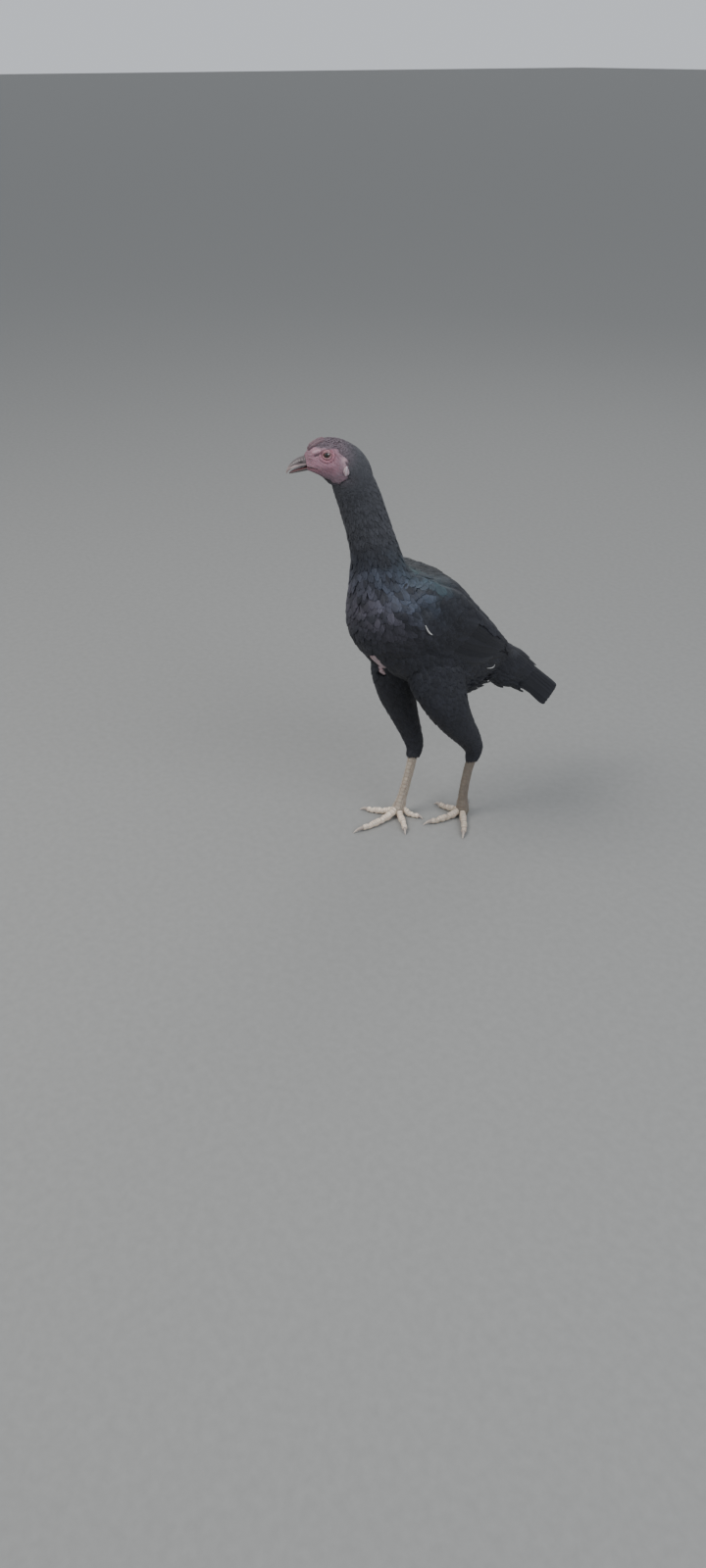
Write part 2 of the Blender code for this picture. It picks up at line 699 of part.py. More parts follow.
def toe_line(side, name, share):
    """Centre of a toe at shares of its length, its height over the floor and its radius there."""
    angle, length, root, end, joints = TOES[side][name]
    heading = math.radians(angle)
    reach = length * (1.0 - CLAW_SHARE)
    share = np.asarray(share, float)
    along_floor = reach * share
    radius = root + (end - root) * share
    radius = radius * (1.0 + 0.10 * np.cos(2 * math.pi * share * joints))
    start = FOOT_HEIGHT + 0.001 if name != "hind" else 0.020
    fall = smooth_step(share / (0.35 if name != "hind" else 0.6))
    height = start + (radius - 0.0006 - start) * fall + 0.0012 * np.sin(2 * math.pi * share * joints) ** 2
    forward, left = FEET[side]
    bend = 0.05 * np.sin(math.pi * share)
    ahead = forward + along_floor * np.cos(heading + bend)
    aside = left + along_floor * np.sin(heading + bend)
    return place(ahead, aside, height), radius


def toe(side, name, group, kind=None, lift=0.0):
    shares, raised = scute_steps(TOE_SCUTES)
    centres, radii = toe_line(side, name, shares)
    ends, _ = toe_line(side, name, np.append(shares[1:], 1.0))
    starts, _ = toe_line(side, name, np.append(0.0, shares[:-1]))
    axes = ends - starts
    angles = ring_angles(TOE_SIDES)
    top = np.clip(np.sin(angles) * 1.6 + 0.2, 0.0, 1.0)
    rings = []
    for centre, axis, radius, rise in zip(centres, axes, radii, raised):
        radius = radius + lift + rise * top
        axis = axis / np.linalg.norm(axis)
        across = np.cross([0.0, 0.0, 1.0], axis)
        across /= np.linalg.norm(across)
        upward = np.cross(axis, across)
        wide, high = np.cos(angles) * radius, np.sin(angles) * radius
        rings.append(centre + np.outer(wide, across) + np.outer(high, upward))
    made = loft("toe_%s_%s" % (name, side), rings, group, kind)
    for vert in made.data.vertices:
        vert.co.z = max(vert.co.z, 0.0)
    return made


def claw(side, name, group):
    """Curved claw whose base faces the toe's flat end."""
    length = TOES[side][name][1]
    shares, _ = scute_steps(TOE_SCUTES)
    centres, radii = toe_line(side, name, shares)
    axis = centres[-1] - centres[-2]
    axis /= np.linalg.norm(axis)
    level = np.array([axis[0], axis[1], 0.0]) / math.hypot(axis[0], axis[1])
    across = np.cross([0.0, 0.0, 1.0], level)
    reach = length * CLAW_SHARE
    base = centres[-1] + axis * GAP * 1.3
    angles = ring_angles(8)
    rings = []
    for share in (0.0, 0.35, 0.7):
        run = axis * (1.0 - share) + level * share
        centre = base + run * reach * share + np.array([0.0, 0.0, 0.0020 * math.sin(math.pi * share)])
        size = radii[-1] * 0.80 * (1.0 - 0.70 * share)
        upward = np.cross(run / np.linalg.norm(run), across)
        centre[2] = max(centre[2], size + 0.0003)
        wide, high = np.cos(angles) * size * 0.8, np.sin(angles) * size
        rings.append(centre + np.outer(wide, across) + np.outer(high, upward))
    tip = base + level * reach
    tip[2] = 0.0007
    return loft("claw_%s_%s" % (name, side), rings, group, "claw", tip)


def vane(name, surface, outline, line, half, lift, group):
    """Feather vane over a surface: outline rows run from root to tip, both faces split alike."""
    tops, bottoms = [], []
    for share, width, lag in outline:
        t, angle = line(share)
        late, _ = line(max(share - lag, 0.0))
        stations = np.array([late, t, late])
        angles = angle + half(t) * width * np.array([-1.0, 0.0, 1.0])
        tops.append(surface(stations, angles, np.full(3, lift + VANE_THICK / 2)))
        bottoms.append(surface(stations, angles, np.full(3, lift - VANE_THICK / 2)))
    count = len(outline)
    points = np.concatenate([np.reshape(tops, (-1, 3)), np.reshape(bottoms, (-1, 3))])
    faces = []
    under = 3 * count
    for k in range(count - 1):
        for c in (0, 1):
            a, b = 3 * k + c, 3 * k + c + 1
            d, e = a + 3, b + 3
            faces += [(a, b, e), (a, e, d)]
            faces += [(under + b, under + a, under + e), (under + e, under + a, under + d)]
        for c in (0, 2):
            a, d = 3 * k + c, 3 * k + c + 3
            faces += [(a, d, under + d), (a, under + d, under + a)]
    for k in (0, 3 * (count - 1)):
        for c in (0, 1):
            a, b = k + c, k + c + 1
            faces += [(a, b, under + b), (a, under + b, under + a)]
    return add_object(name, points, faces, group)


def lane_lift(sheet, lane, tier):
    base, lane_step, tier_step = sheet[:3]
    return base + lane_step * lane + tier_step * tier


def lane_angle(edges, sheet, lane, t, sign):
    """Middle of a lane at station t, and its half width there, as angles round the surface."""
    low, high = edges(t)
    width = (high - low) / sheet[3]
    return sign * (low + width * (lane + 0.5)), width * sheet[4] / 2


def tiers(surface, edges, sheet, rows, sign, group, long=VANE_LONG):
    for tier, root, tip, first, stop, late in rows:
        for lane in range(first, stop):
            end = tip + (root - tip) * late * (lane - first) / (stop - first) * 0.5

            def line(share, lane=lane, end=end, root=root):
                t = root + (end - root) * share
                return t, lane_angle(edges, sheet, lane, t, sign)[0]

            def half(t, lane=lane):
                return lane_angle(edges, sheet, lane, t, sign)[1]

            outline = long if abs(root - end) > 1.9 else VANE_SHORT
            vane("vane", surface, outline, line, half, lane_lift(sheet, lane, tier), group)


def wing_edges(t):
    low, high = np.radians(between(WING_EDGES, t))
    return low, high


def wing(side, parts):
    """Folded wing: a core over the trunk, thickest at the shoulder, with four tiers of vanes rooted in it."""
    sign = SIDES[side]
    front = WING_EDGES[0][0]
    roots = [(row[1], row[0] + 0.45) for row in reversed(WING_TIERS)]
    knots = [(front, roots[0][1])] + roots + [(roots[-1][0] - 0.45, -0.6), (1.75, -2.2)]
    stations = np.concatenate([np.linspace(front, 5.6, 4), np.linspace(5.1, 1.75, 8)])
    across = np.linspace(0.0, 1.0, 9)
    rings = []
    for t in stations:
        low, high = wing_edges(t)
        tier = np.interp(-t, [-knot[0] for knot in knots], [knot[1] for knot in knots])
        lifts = lane_lift(WING_SHEET, across * WING_SHEET[3] - 0.5, tier)
        round_front = 0.25 + 0.75 * smooth_step((front - t) / 0.55)
        lifts = lifts * round_front * (1.0 - (2.0 * across - 1.0) ** 6) ** 0.5
        angles = sign * (low + (high - low) * across)
        over = trunk(t, angles, lifts)
        under = trunk(t, angles[::-1][::3], np.full(len(angles[::3]), -0.006))
        rings.append(np.vstack([over, under]))
    core = loft("wing_" + side, rings, parts, "feather")
    pieces = collection("pieces")
    tiers(trunk, wing_edges, WING_SHEET, WING_TIERS, sign, pieces)
    boolean(core, pieces, "UNION", "MANIFOLD")
    bpy.data.collections.remove(pieces)
    return core


def tail_ring(t, angle):
    """Point of the tail at station t and angle round it, 0 below and a quarter turn at the left."""
    t, angle = np.broadcast_arrays(np.asarray(t, float), np.asarray(angle, float))
    rows = along(TAIL, t)
    cos, sin = np.cos(angle), np.sin(angle)
    depth = np.where(cos > 0, rows[..., 3], rows[..., 2]) * -cos
    back, rise = math.cos(TAIL_SLOPE), math.sin(TAIL_SLOPE)
    forward = TAIL_ROOT[0] - back * rows[..., 0] + rise * depth
    up = TAIL_ROOT[1] + rise * rows[..., 0] + back * depth
    return place(forward, rows[..., 1] * sin, up)


def tail_skin(t, angle, lift=0.0):
    return lifted(tail_ring, np.asarray(t, float), np.asarray(angle, float), np.asarray(lift, float))


def tail_edges(t):
    """Edges of the tail's sides, the same at every station."""
    return math.radians(TAIL_LANES[0]), math.radians(TAIL_LANES[1])


def tail(parts):
    """Closed tail: a deep root, main feathers in a tent of two sides, coverts over them and fluff below."""
    low, high = tail_edges(0.0)
    lanes = TAIL_SHEET[3]
    knots = ((0.0, 1.9), (0.45, 1.45), (1.0, 0.5), (1.6, -0.4), (2.2, -1.6))
    rings = []
    for t in np.linspace(0.0, 2.13, 7):
        tier = np.interp(t, [knot[0] for knot in knots], [knot[1] for knot in knots])
        angles = ring_angles(20)
        fold = np.minimum(angles, 2 * math.pi - angles)
        lane = np.clip((fold - low) / (high - low) * lanes - 0.5, -1.0, lanes - 0.5)
        rings.append(tail_skin(t, angles, lane_lift(TAIL_SHEET, lane, tier)))
    core = loft("tail", rings, parts, "feather")
    pieces = collection("pieces")
    for sign in SIDES.values():
        tiers(tail_skin, tail_edges, TAIL_SHEET, TAIL_TIERS, sign, pieces, VANE_SQUARE)
        for angle, end, lift in FLUFF:

            def line(share, angle=angle, end=end):
                return 0.3 + (end - 0.3) * share, sign * math.radians(angle)

            vane("fluff", tail_skin, VANE_SHORT, line, lambda t: math.radians(9.5), lift, pieces)
    boolean(core, pieces, "UNION", "MANIFOLD")
    bpy.data.collections.remove(pieces)
    return core


def cut(obj, cutters, solver="EXACT"):
    boolean(obj, cutters, "DIFFERENCE", solver)


def settle(parts):
    """Moves the bird sideways until the middle of its outline stands over the origin."""
    corners = []
    for obj in parts.objects:
        corners += [tuple(vert.co) for vert in obj.data.vertices]
    corners = np.array(corners)
    middle = (corners.min(axis=0) + corners.max(axis=0)) / 2.0
    for obj in parts.objects:
        for vert in obj.data.vertices:
            vert.co.x -= middle[0]
            vert.co.y -= middle[1]


def main():
    clear_scene()
    parts = collection(OBJECT)
    cutters = collection("cutters")
    cutters.hide_render = True

    torso("torso", parts, "feather")
    neck("neck", parts, "feather")
    head = head_loft("head", parts, "face")

    rear = tail(parts)
    torso("clear", cutters, lift=GAP)
    cut(rear, cutters, "MANIFOLD")

    for side in SIDES:
        folded = wing(side, parts)
        torso("clear", cutters, lift=GAP)
        neck("clear", cutters, lift=GAP)
        thigh(side, cutters, lift=GAP)
        cut(folded, cutters, "MANIFOLD")
        leg = thigh(side, parts, "feather")
        torso("clear", cutters, lift=GAP)
        cut(leg, cutters)
        shank(side, parts, "shank")
        for name in TOES[side]:
            digit = toe(side, name, parts, "shank")
            shank(side, cutters, lift=GAP)
            for other in ("middle", "outer"):
                if name != other and (name, other) != ("middle", "outer"):
                    toe(side, other, cutters, lift=GAP)
            cut(digit, cutters)
            claw(side, name, parts)

    base = (HEAD[-1][0], HEAD[-1][1])
    ahead = GAP * 1.5
    eyes_and_lids(head, parts, cutters)
    comb(parts, cutters)
    for side in SIDES:
        earlobe(side, parts, cutters)
    bill = beak_half("beak_upper", BEAK_UPPER, BEAK_UPPER_TIP, (base[0] + ahead, base[1]), parts)
    for sign in SIDES.values():
        spot = head_at(base[0] + NOSTRIL_PLACE[0], NOSTRIL_PLACE[1] * sign, base[1] + NOSTRIL_PLACE[2])
        ball("nostril", spot, NOSTRIL_SIZE, cutters, turn=head_axes(sign), segments=10, rings=6)
    cut(bill, cutters)
    beak_half("beak_lower", BEAK_LOWER, BEAK_LOWER_TIP, (base[0] + ahead, base[1]), parts)
    bpy.data.collections.remove(cutters)
    for obj in parts.objects:
        if not obj.name.startswith(SHEETS):
            obj.data.shade_smooth()
    settle(parts)


main()
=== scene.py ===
"""Dressed model of a standing o shamo hen: one skin, and feathers, scales, lids and horn laid over it.

Every surface is read at a station and an angle. Feathers are closed vanes whose middle line starts at a root
under the outline, runs with the lie of the coat and rises to the outline at its tip.
"""

import json
import math

import bpy
import numpy as np
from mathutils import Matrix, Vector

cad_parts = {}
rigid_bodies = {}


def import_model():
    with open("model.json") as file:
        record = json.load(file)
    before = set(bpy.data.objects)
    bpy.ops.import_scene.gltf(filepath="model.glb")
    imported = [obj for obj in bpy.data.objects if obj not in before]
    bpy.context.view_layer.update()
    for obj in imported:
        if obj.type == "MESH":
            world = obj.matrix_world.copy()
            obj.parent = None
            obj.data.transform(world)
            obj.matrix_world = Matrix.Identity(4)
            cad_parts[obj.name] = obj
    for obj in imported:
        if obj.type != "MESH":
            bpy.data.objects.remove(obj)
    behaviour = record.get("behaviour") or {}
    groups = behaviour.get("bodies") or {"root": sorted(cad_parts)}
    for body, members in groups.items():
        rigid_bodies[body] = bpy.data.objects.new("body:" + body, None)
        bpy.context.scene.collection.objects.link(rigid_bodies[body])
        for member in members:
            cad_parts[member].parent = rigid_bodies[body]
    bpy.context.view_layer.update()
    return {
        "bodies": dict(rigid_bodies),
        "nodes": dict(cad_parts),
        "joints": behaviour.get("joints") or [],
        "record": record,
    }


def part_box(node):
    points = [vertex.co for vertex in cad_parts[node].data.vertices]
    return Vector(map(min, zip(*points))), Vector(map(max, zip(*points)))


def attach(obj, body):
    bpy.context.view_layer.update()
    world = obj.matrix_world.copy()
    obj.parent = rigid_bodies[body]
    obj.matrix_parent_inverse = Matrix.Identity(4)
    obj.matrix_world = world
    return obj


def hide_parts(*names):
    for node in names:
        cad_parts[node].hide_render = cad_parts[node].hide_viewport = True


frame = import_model()
TURN = 2 * math.pi
SIDES = {"left": 1.0, "right": -1.0}

# Trunk from over the tail to the skull: forward, up, half width, depth below, depth above
TRUNK = (
    (-0.1473, 0.2299, 0.0130, 0.0340, 0.0190),
    (-0.125, 0.250, 0.018, 0.036, 0.015),
    (-0.096, 0.277, 0.036, 0.074, 0.019),
    (-0.056, 0.308, 0.051, 0.101, 0.032),
    (-0.006, 0.345, 0.059, 0.101, 0.046),
    (0.044, 0.385, 0.065, 0.103, 0.0545),
    (0.080, 0.420, 0.065, 0.093, 0.036),
    (0.100, 0.450, 0.045, 0.061, 0.023),
    (0.114, 0.482, 0.033, 0.039, 0.026),
    (0.127, 0.518, 0.0280, 0.033, 0.026),
    (0.139, 0.550, 0.0265, 0.031, 0.026),
    (0.150, 0.577, 0.0255, 0.029, 0.0255),
)
# Head from above the skull station: forward, up, lean in degrees, half width, depth below, depth above
HEAD = (
    (0.0040, 0.0115, 30.0, 0.0256, 0.0285, 0.0260),
    (0.0115, 0.0235, 48.0, 0.0245, 0.0292, 0.0255),
    (0.0235, 0.0315, 70.0, 0.0222, 0.0303, 0.0250),
    (0.0365, 0.0335, 90.0, 0.0195, 0.0278, 0.0240),
    (0.0485, 0.0315, 97.0, 0.0165, 0.0178, 0.0205),
    (0.0565, 0.0295, 98.0, 0.0125, 0.0115, 0.0145),
    (0.0610, 0.0285, 98.0, 0.0098, 0.0090, 0.0100),
)
PIVOT = (0.150, 0.577)
HEAD_YAW = math.radians(-25.0)
BODY_END = 18.0
EYE_RADIUS = 0.0066
EYE_PLACE = (0.0362, 0.0136, 0.0415)
EYE_FACES = (0.20, 0.96, 0.16)
BEAK_UPPER = (
    (-0.0022, 0.0005, 0.0085, 0.0083, 0.0014),
    (0.0000, 0.0005, 0.0088, 0.0086, 0.0014),
    (0.0070, 0.0006, 0.0076, 0.0076, 0.0014),
    (0.0140, -0.0004, 0.0058, 0.0060, 0.0014),
    (0.0200, -0.0026, 0.0038, 0.0042, 0.0014),
    (0.0240, -0.0056, 0.0019, 0.0026, 0.0012),
    (0.0260, -0.0090, 0.0004, 0.0006, 0.0005),
)
BEAK_LOWER = (
    (-0.0022, -0.0043, 0.0079, 0.0012, 0.0044),
    (0.0000, -0.0044, 0.0080, 0.0012, 0.0046),
    (0.0070, -0.0052, 0.0068, 0.0010, 0.0040),
    (0.0140, -0.0062, 0.0050, 0.0009, 0.0031),
    (0.0190, -0.0074, 0.0030, 0.0007, 0.0021),
    (0.0222, -0.0087, 0.0005, 0.0004, 0.0006),
)
BEAK_PITCH = math.radians(-8.0)
NOSTRIL = 0.0062
# Thighs: forward, left, up, half length fore and aft, half width
THIGHS = {
    "left": (
        (0.046, 0.030, 0.322, 0.034, 0.016),
        (0.034, 0.036, 0.280, 0.039, 0.020),
        (0.014, 0.042, 0.234, 0.034, 0.023),
        (-0.012, 0.040, 0.190, 0.0255, 0.020),
        (-0.039, 0.036, 0.153, 0.0190, 0.016),
        (-0.055, 0.033, 0.127, 0.0150, 0.0130),
        (-0.0555, 0.032, 0.111, 0.0118, 0.0108),
        (-0.0520, 0.031, 0.098, 0.0090, 0.0086),
        (-0.0492, 0.0303, 0.0855, 0.0086, 0.0079),
    ),
    "right": (
        (0.068, -0.028, 0.320, 0.030, 0.016),
        (0.059, -0.034, 0.276, 0.034, 0.019),
        (0.044, -0.040, 0.226, 0.029, 0.022),
        (0.028, -0.039, 0.181, 0.0220, 0.019),
        (0.016, -0.036, 0.145, 0.0170, 0.0155),
        (0.010, -0.033, 0.120, 0.0142, 0.0125),
        (0.0125, -0.032, 0.105, 0.0115, 0.0108),
        (0.0160, -0.031, 0.092, 0.0090, 0.0086),
        (0.0188, -0.0303, 0.0795, 0.0086, 0.0079),
    ),
}
# Station where the feathering ends
CUFF_END = {"left": 6.55, "right": 6.15}
FEET = {"left": (-0.043, 0.030), "right": (0.042, -0.029)}
FOOT_HEIGHT = 0.011
SHANK = (
    (0.00, 0.0080, 0.0076),
    (0.18, 0.0078, 0.0070),
    (0.50, 0.0076, 0.0066),
    (0.78, 0.0080, 0.0072),
    (0.92, 0.0098, 0.0098),
    (1.00, 0.0108, 0.0112),
)
# Toes: heading in degrees, length with the claw, root radius, end radius, joints
TOES = {
    "left": {
        "inner": (-66.0, 0.052, 0.0058, 0.0040, 2),
        "middle": (-8.0, 0.072, 0.0062, 0.0042, 3),
        "outer": (53.0, 0.068, 0.0058, 0.0040, 3),
        "hind": (-140.0, 0.046, 0.0050, 0.0036, 2),
    },
    "right": {
        "inner": (66.0, 0.058, 0.0058, 0.0040, 2),
        "middle": (2.0, 0.090, 0.0062, 0.0042, 3),
        "outer": (-45.0, 0.064, 0.0058, 0.0040, 3),
        "hind": (126.0, 0.043, 0.0050, 0.0036, 2),
    },
}
CLAW_SHARE = 0.20
TAIL_SLOPE = math.radians(-42.0)
TAIL = (
    (-0.030, 0.0150, 0.0150, 0.0330),
    (0.000, 0.0130, 0.0172, 0.0325),
    (0.030, 0.0120, 0.0200, 0.0355),
    (0.060, 0.0085, 0.0190, 0.0255),
    (0.100, 0.0052, 0.0180, 0.0190),
    (0.140, 0.0032, 0.0180, 0.0215),
    (0.162, 0.0024, 0.0170, 0.0230),
)
# Wing edges: body station, low angle, high angle
WING_EDGES = (
    (1.30, 108.0, 127.0),
    (1.60, 100.0, 130.0),
    (2.20, 84.0, 132.0),
    (3.00, 72.0, 132.0),
    (4.00, 64.0, 132.0),
    (5.00, 64.0, 133.0),
    (6.10, 70.0, 129.0),
    (6.75, 82.0, 124.0),
    (7.05, 94.0, 119.0),
)
# Body stations and the tier of the wing's quills there
WING_TIER = ((1.3, 0.0), (2.25, 0.5), (3.0, 1.0), (4.0, 1.7), (5.0, 2.5), (6.0, 3.0), (7.05, 3.2))
# Heights on the folded wing: at its low edge, by lane and by tier, and the number of lanes
WING_HULL = (0.0022, 0.0010, 0.0022, 6)
TOP_TIER = 2.9
# Reach of the rounding between body and thighs, and size of a tuft's patch on the bake map
FILLET = 0.026
PATCH = 0.003
# Thickness of small and of broad vanes, and half the spacing at which a surface's slopes are taken
THIN, BROAD = 0.0004, 0.00045
NEAR = 0.02
# Depth of the skin under the outline at body stations
COAT_DEPTH = ((0, 0.004), (2, 0.006), (4, 0.007), (7, 0.007), (8.5, 0.005), (10, 0.004), (11.5, 0.003),
              (13, 0.0016), (15, 0.0008), (18, 0.0))
# The same on a thigh: stations, depths
THIGH_DEPTH = ((0, 4, 6, 7), (0.005, 0.003, 0.0018, 0.0012))


def along(rows, t):
    """Catmull-Rom curve through the rows at row numbers t: a cubic whose slope at a row is half the chord
    between its neighbours."""
    rows = np.asarray(rows, float)
    t = np.clip(np.asarray(t, float), 0.0, len(rows) - 1.0)
    i = np.minimum(t.astype(int), len(rows) - 2)
    f = (t - i)[..., None]
    padded = np.vstack([2 * rows[0] - rows[1], rows, 2 * rows[-1] - rows[-2]])
    a, b, c, d = (padded[i + k] for k in range(4))
    return b + 0.5 * f * (c - a + f * (2 * a - 5 * b + 4 * c - d + f * (3 * (b - c) + d - a)))


def between(rows, x):
    """Rows read where their first column equals x."""
    rows = np.asarray(rows, float)
    return along(rows, np.interp(x, rows[:, 0], np.arange(len(rows))))[..., 1:]


def smooth_step(x):
    """0 below 0, 1 above 1, and 3 x squared less 2 x cubed between."""
    x = np.clip(x, 0.0, 1.0)
    return x * x * (3.0 - 2.0 * x)


def unit(v):
    return v / np.maximum(np.linalg.norm(v, axis=-1, keepdims=True), 1e-12)


def paired(*values):
    """The values as arrays of one shape."""
    return np.broadcast_arrays(*(np.asarray(value, float) for value in values))


def grid(first, second):
    """Both values over a grid: the first from row to row, the second along a row."""
    return np.meshgrid(first, second, indexing="ij")


def circle(count, start=0.0):
    """Angles evenly round one turn."""
    return np.linspace(start, start + TURN, count, endpoint=False)


def mix(first, second, share):
    """Colour moved from the first to the second by a share for each point."""
    return first + np.asarray(share)[..., None] * (second - first)


def place(forward, left, up):
    """World point from its places ahead, to the bird's left and up."""
    forward, left, up = np.broadcast_arrays(forward, left, up)
    return np.stack([left, -forward, up], axis=-1)


def place_rows(rows):
    """World points of rows that begin with the places ahead, left and up."""
    return place(*np.moveaxis(rows[..., :3], -1, 0))


def off_line(p, start, end):
    """Share of the line from start to end that is nearest to each point, and the distance to it."""
    run = end - start
    share = np.clip(((p - start) @ run) / run.dot(run), 0.0, 1.0)
    return share, np.linalg.norm(p - start - share[..., None] * run, axis=-1)


def leg_frame(axes):
    """Directions square to a leg's axis: to the bird's left, and ahead."""
    across = unit(np.array([1.0, 0.0, 0.0]) - axes * axes[..., :1])
    fore = np.cross(across, axes)
    return across, fore * np.where(fore[..., 1:2] > 0, -1.0, 1.0)


def head_at(forward, left, up, turn=HEAD_YAW):
    """Point given from the neck's top in the head's own frame, turned about the vertical."""
    cos, sin = np.cos(turn), np.sin(turn)
    return place(PIVOT[0] + forward * cos - left * sin, left * cos + forward * sin, PIVOT[1] + up)


# The solids stand with the middle of their outline over the origin: the same step sideways is taken here
low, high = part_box("eye_left")
STEP = (np.array(low) + np.array(high)) / 2 - head_at(*EYE_PLACE)
STEP[2] = 0.0


def body_rows():
    """One table from over the tail to the beak: a trunk ring leans as the line through its neighbours does."""
    trunk = np.array(TRUNK)
    run = np.gradient(trunk[:, :2], axis=0)
    lean = np.degrees(np.arctan2(run[:, 0], run[:, 1]))
    body = np.column_stack([trunk[:, :2] - PIVOT, lean, trunk[:, 2:]])
    return np.vstack([body, HEAD])


BODY = body_rows()


def body_ring(t, angle):
    """Ring point: centre + rise * depth * -cos(angle) + left * half width * sin(angle), pinched at the keel,
    and turned with the head beyond the neck's top."""
    t, angle = paired(t, angle)
    rows = along(BODY, t)
    lean = np.radians(rows[..., 2])
    turn = HEAD_YAW * smooth_step(rows[..., 0] / 0.030)
    cos, sin = np.cos(angle), np.sin(angle)
    depth = np.where(cos > 0, rows[..., 4], rows[..., 5]) * -cos
    pinch = 0.16 * smooth_step((11.2 - t) / 1.0)
    width = rows[..., 3] * sin * (1.0 - pinch * cos)
    ahead = rows[..., 0] - np.cos(lean) * depth
    return head_at(ahead, width, rows[..., 1] + np.sin(lean) * depth, turn) + STEP


class Surface:
    """Sheet read at a station and an angle, whose lift runs along its outward normal."""

    def __init__(self, read, probe, inside):
        self.read = read
        self.side = 1.0
        t, a = np.array([float(probe[0])]), np.array([float(probe[1])])
        if (self.normal(t, a)[0] * (read(t, a)[0] - inside)).sum() < 0:
            self.side = -1.0

    def slopes(self, t, a):
        """Steps of the sheet per station and per unit of angle."""
        by_t = (self.read(t + NEAR, a) - self.read(t - NEAR, a)) / (2 * NEAR)
        by_a = (self.read(t, a + NEAR) - self.read(t, a - NEAR)) / (2 * NEAR)
        return by_t, by_a

    def pace(self, t, a):
        """Metres per station and per unit of angle."""
        return [np.linalg.norm(slope, axis=-1) for slope in self.slopes(t, a)]

    def normal(self, t, a):
        by_t, by_a = self.slopes(t, a)
        return unit(np.cross(by_t, by_a)) * self.side

    def at(self, t, a, lift=0.0):
        """Points lifted off the sheet along its outward normal."""
        t, a, lift = paired(t, a, lift)
        return self.read(t, a) + self.normal(t, a) * lift[..., None]


MIDDLE = body_ring(5.0, [math.pi / 2, -math.pi / 2]).mean(axis=0)
bare_body = Surface(body_ring, (5.0, math.pi / 2), MIDDLE)


def thigh_surface(side):
    """Rings square to the leg's line, angle 0 ahead and a quarter turn to the bird's left."""
    rows = THIGHS[side]

    def read(t, angle):
        t, angle = paired(t, angle)
        now = along(rows, t)
        ahead, behind = along(rows, np.minimum(t + 0.1, 8.0)), along(rows, np.maximum(t - 0.1, 0.0))
        across, fore = leg_frame(unit(place_rows(ahead - behind)))
        dome = 1.0 - 0.50 * np.clip(1.0 - t / 1.1, 0.0, 1.2) ** 2
        swing = fore * (np.cos(angle) * now[..., 3] * dome)[..., None]
        swing = swing + across * (np.sin(angle) * now[..., 4] * dome)[..., None]
        return place_rows(now) + swing + STEP

    bare = Surface(read, (3.0, 0.0), read(3.0, np.array([0.0, math.pi])).mean(axis=0))

    def filled(t, angle):
        t, angle = paired(t, angle)
        lift = fillet(body_gap(read(t, angle))) * smooth_step((4.0 - t) / 1.5)
        return bare.at(t, angle, lift)

    return Surface(filled, (3.0, 0.0), read(3.0, np.array([0.0, math.pi])).mean(axis=0))


def thigh_gap(side, p):
    """About how far points lie outside a thigh: the least of (r - 1) * half width over egg shapes set along
    it, where r is the length of the offset from each centre in half axes."""
    rows = along(THIGHS[side], np.linspace(0.3, 5.0, 16))
    centres = place_rows(rows) + STEP
    axes = unit(np.gradient(centres, axis=0))
    across, fore = leg_frame(axes)
    least = np.full(p.shape[:-1], 9.0)
    for centre, axis, side_way, ahead, row in zip(centres, axes, across, fore, rows):
        away = p - centre
        r = ((away @ ahead) / row[3]) ** 2 + ((away @ side_way) / row[4]) ** 2 + ((away @ axis) / 0.030) ** 2
        r = np.sqrt(r)
        least = np.minimum(least, (r - 1.0) * row[4])
    return least


def body_gap(p):
    """About how far points lie outside the trunk: along the ring's plane of the nearest station."""
    rows = along(BODY, np.linspace(1.0, 7.0, 60))
    centres = place(PIVOT[0] + rows[:, 0], 0.0 * rows[:, 0], PIVOT[1] + rows[:, 1]) + STEP
    flat = p[..., 1:]
    near = np.stack([np.linalg.norm(flat - centre[1:], axis=-1) for centre in centres]).argmin(axis=0)
    row, centre = rows[near], centres[near]
    lean = np.radians(row[..., 2])
    away = p - centre
    rise = away[..., 1] * np.cos(lean) + away[..., 2] * np.sin(lean)
    depth = np.where(rise < 0, row[..., 4], row[..., 5])
    r = np.hypot(rise / depth, away[..., 0] / row[..., 3])
    return (r - 1.0) * row[..., 3]


def fillet(gap):
    """Lift that rounds the corner between two forms: (reach - gap) squared over 4 * reach within reach."""
    return np.clip(FILLET - np.maximum(gap, 0.0), 0.0, FILLET) ** 2 / (4.0 * FILLET)


def from_belly(angle):
    """Body angle from the belly's line, between half a turn to the right and half a turn to the left."""
    return np.mod(angle + math.pi, TURN) - math.pi


def tier_at(t):
    """Tier of the wing's quills at a body station."""
    return np.interp(t, *np.transpose(WING_TIER))


def mantle(t, angle):
    """Height of the back's feathers beside the folded wings, which sinks toward the spine."""
    turn = np.abs(from_belly(angle))
    high = wing_angles(t)[1]
    height = 0.0072 + WING_HULL[2] * tier_at(t)
    share = (turn - high + 0.16) / (math.pi - high + 0.16)
    over = smooth_step(share / 0.25) * (0.58 - 0.56 * smooth_step(share * 1.15))
    return height * over * smooth_step((7.0 - t) / 1.7) * smooth_step((t - 1.0) / 1.0)


def flank_table():
    """Fillet lifts of the body beside the thighs, read once on a grid of stations and angles."""
    t, a = grid(np.linspace(1.0, 8.0, 71), np.linspace(0.0, TURN, 181))
    p = body_ring(t, a)
    return sum(fillet(thigh_gap(side, p)) for side in SIDES) + mantle(t, a)


def grid_read(table, row, column):
    """Smooth look-up between the cells of a table."""
    row = np.clip(row, 0.0, table.shape[0] - 1.001)
    column = np.clip(column, 0.0, table.shape[1] - 1.001)
    i, j = row.astype(int), column.astype(int)
    f, g = smooth_step(row - i), smooth_step(column - j)
    low = table[i, j] * (1 - g) + table[i, j + 1] * g
    return low * (1 - f) + (table[i + 1, j] * (1 - g) + table[i + 1, j + 1] * g) * f


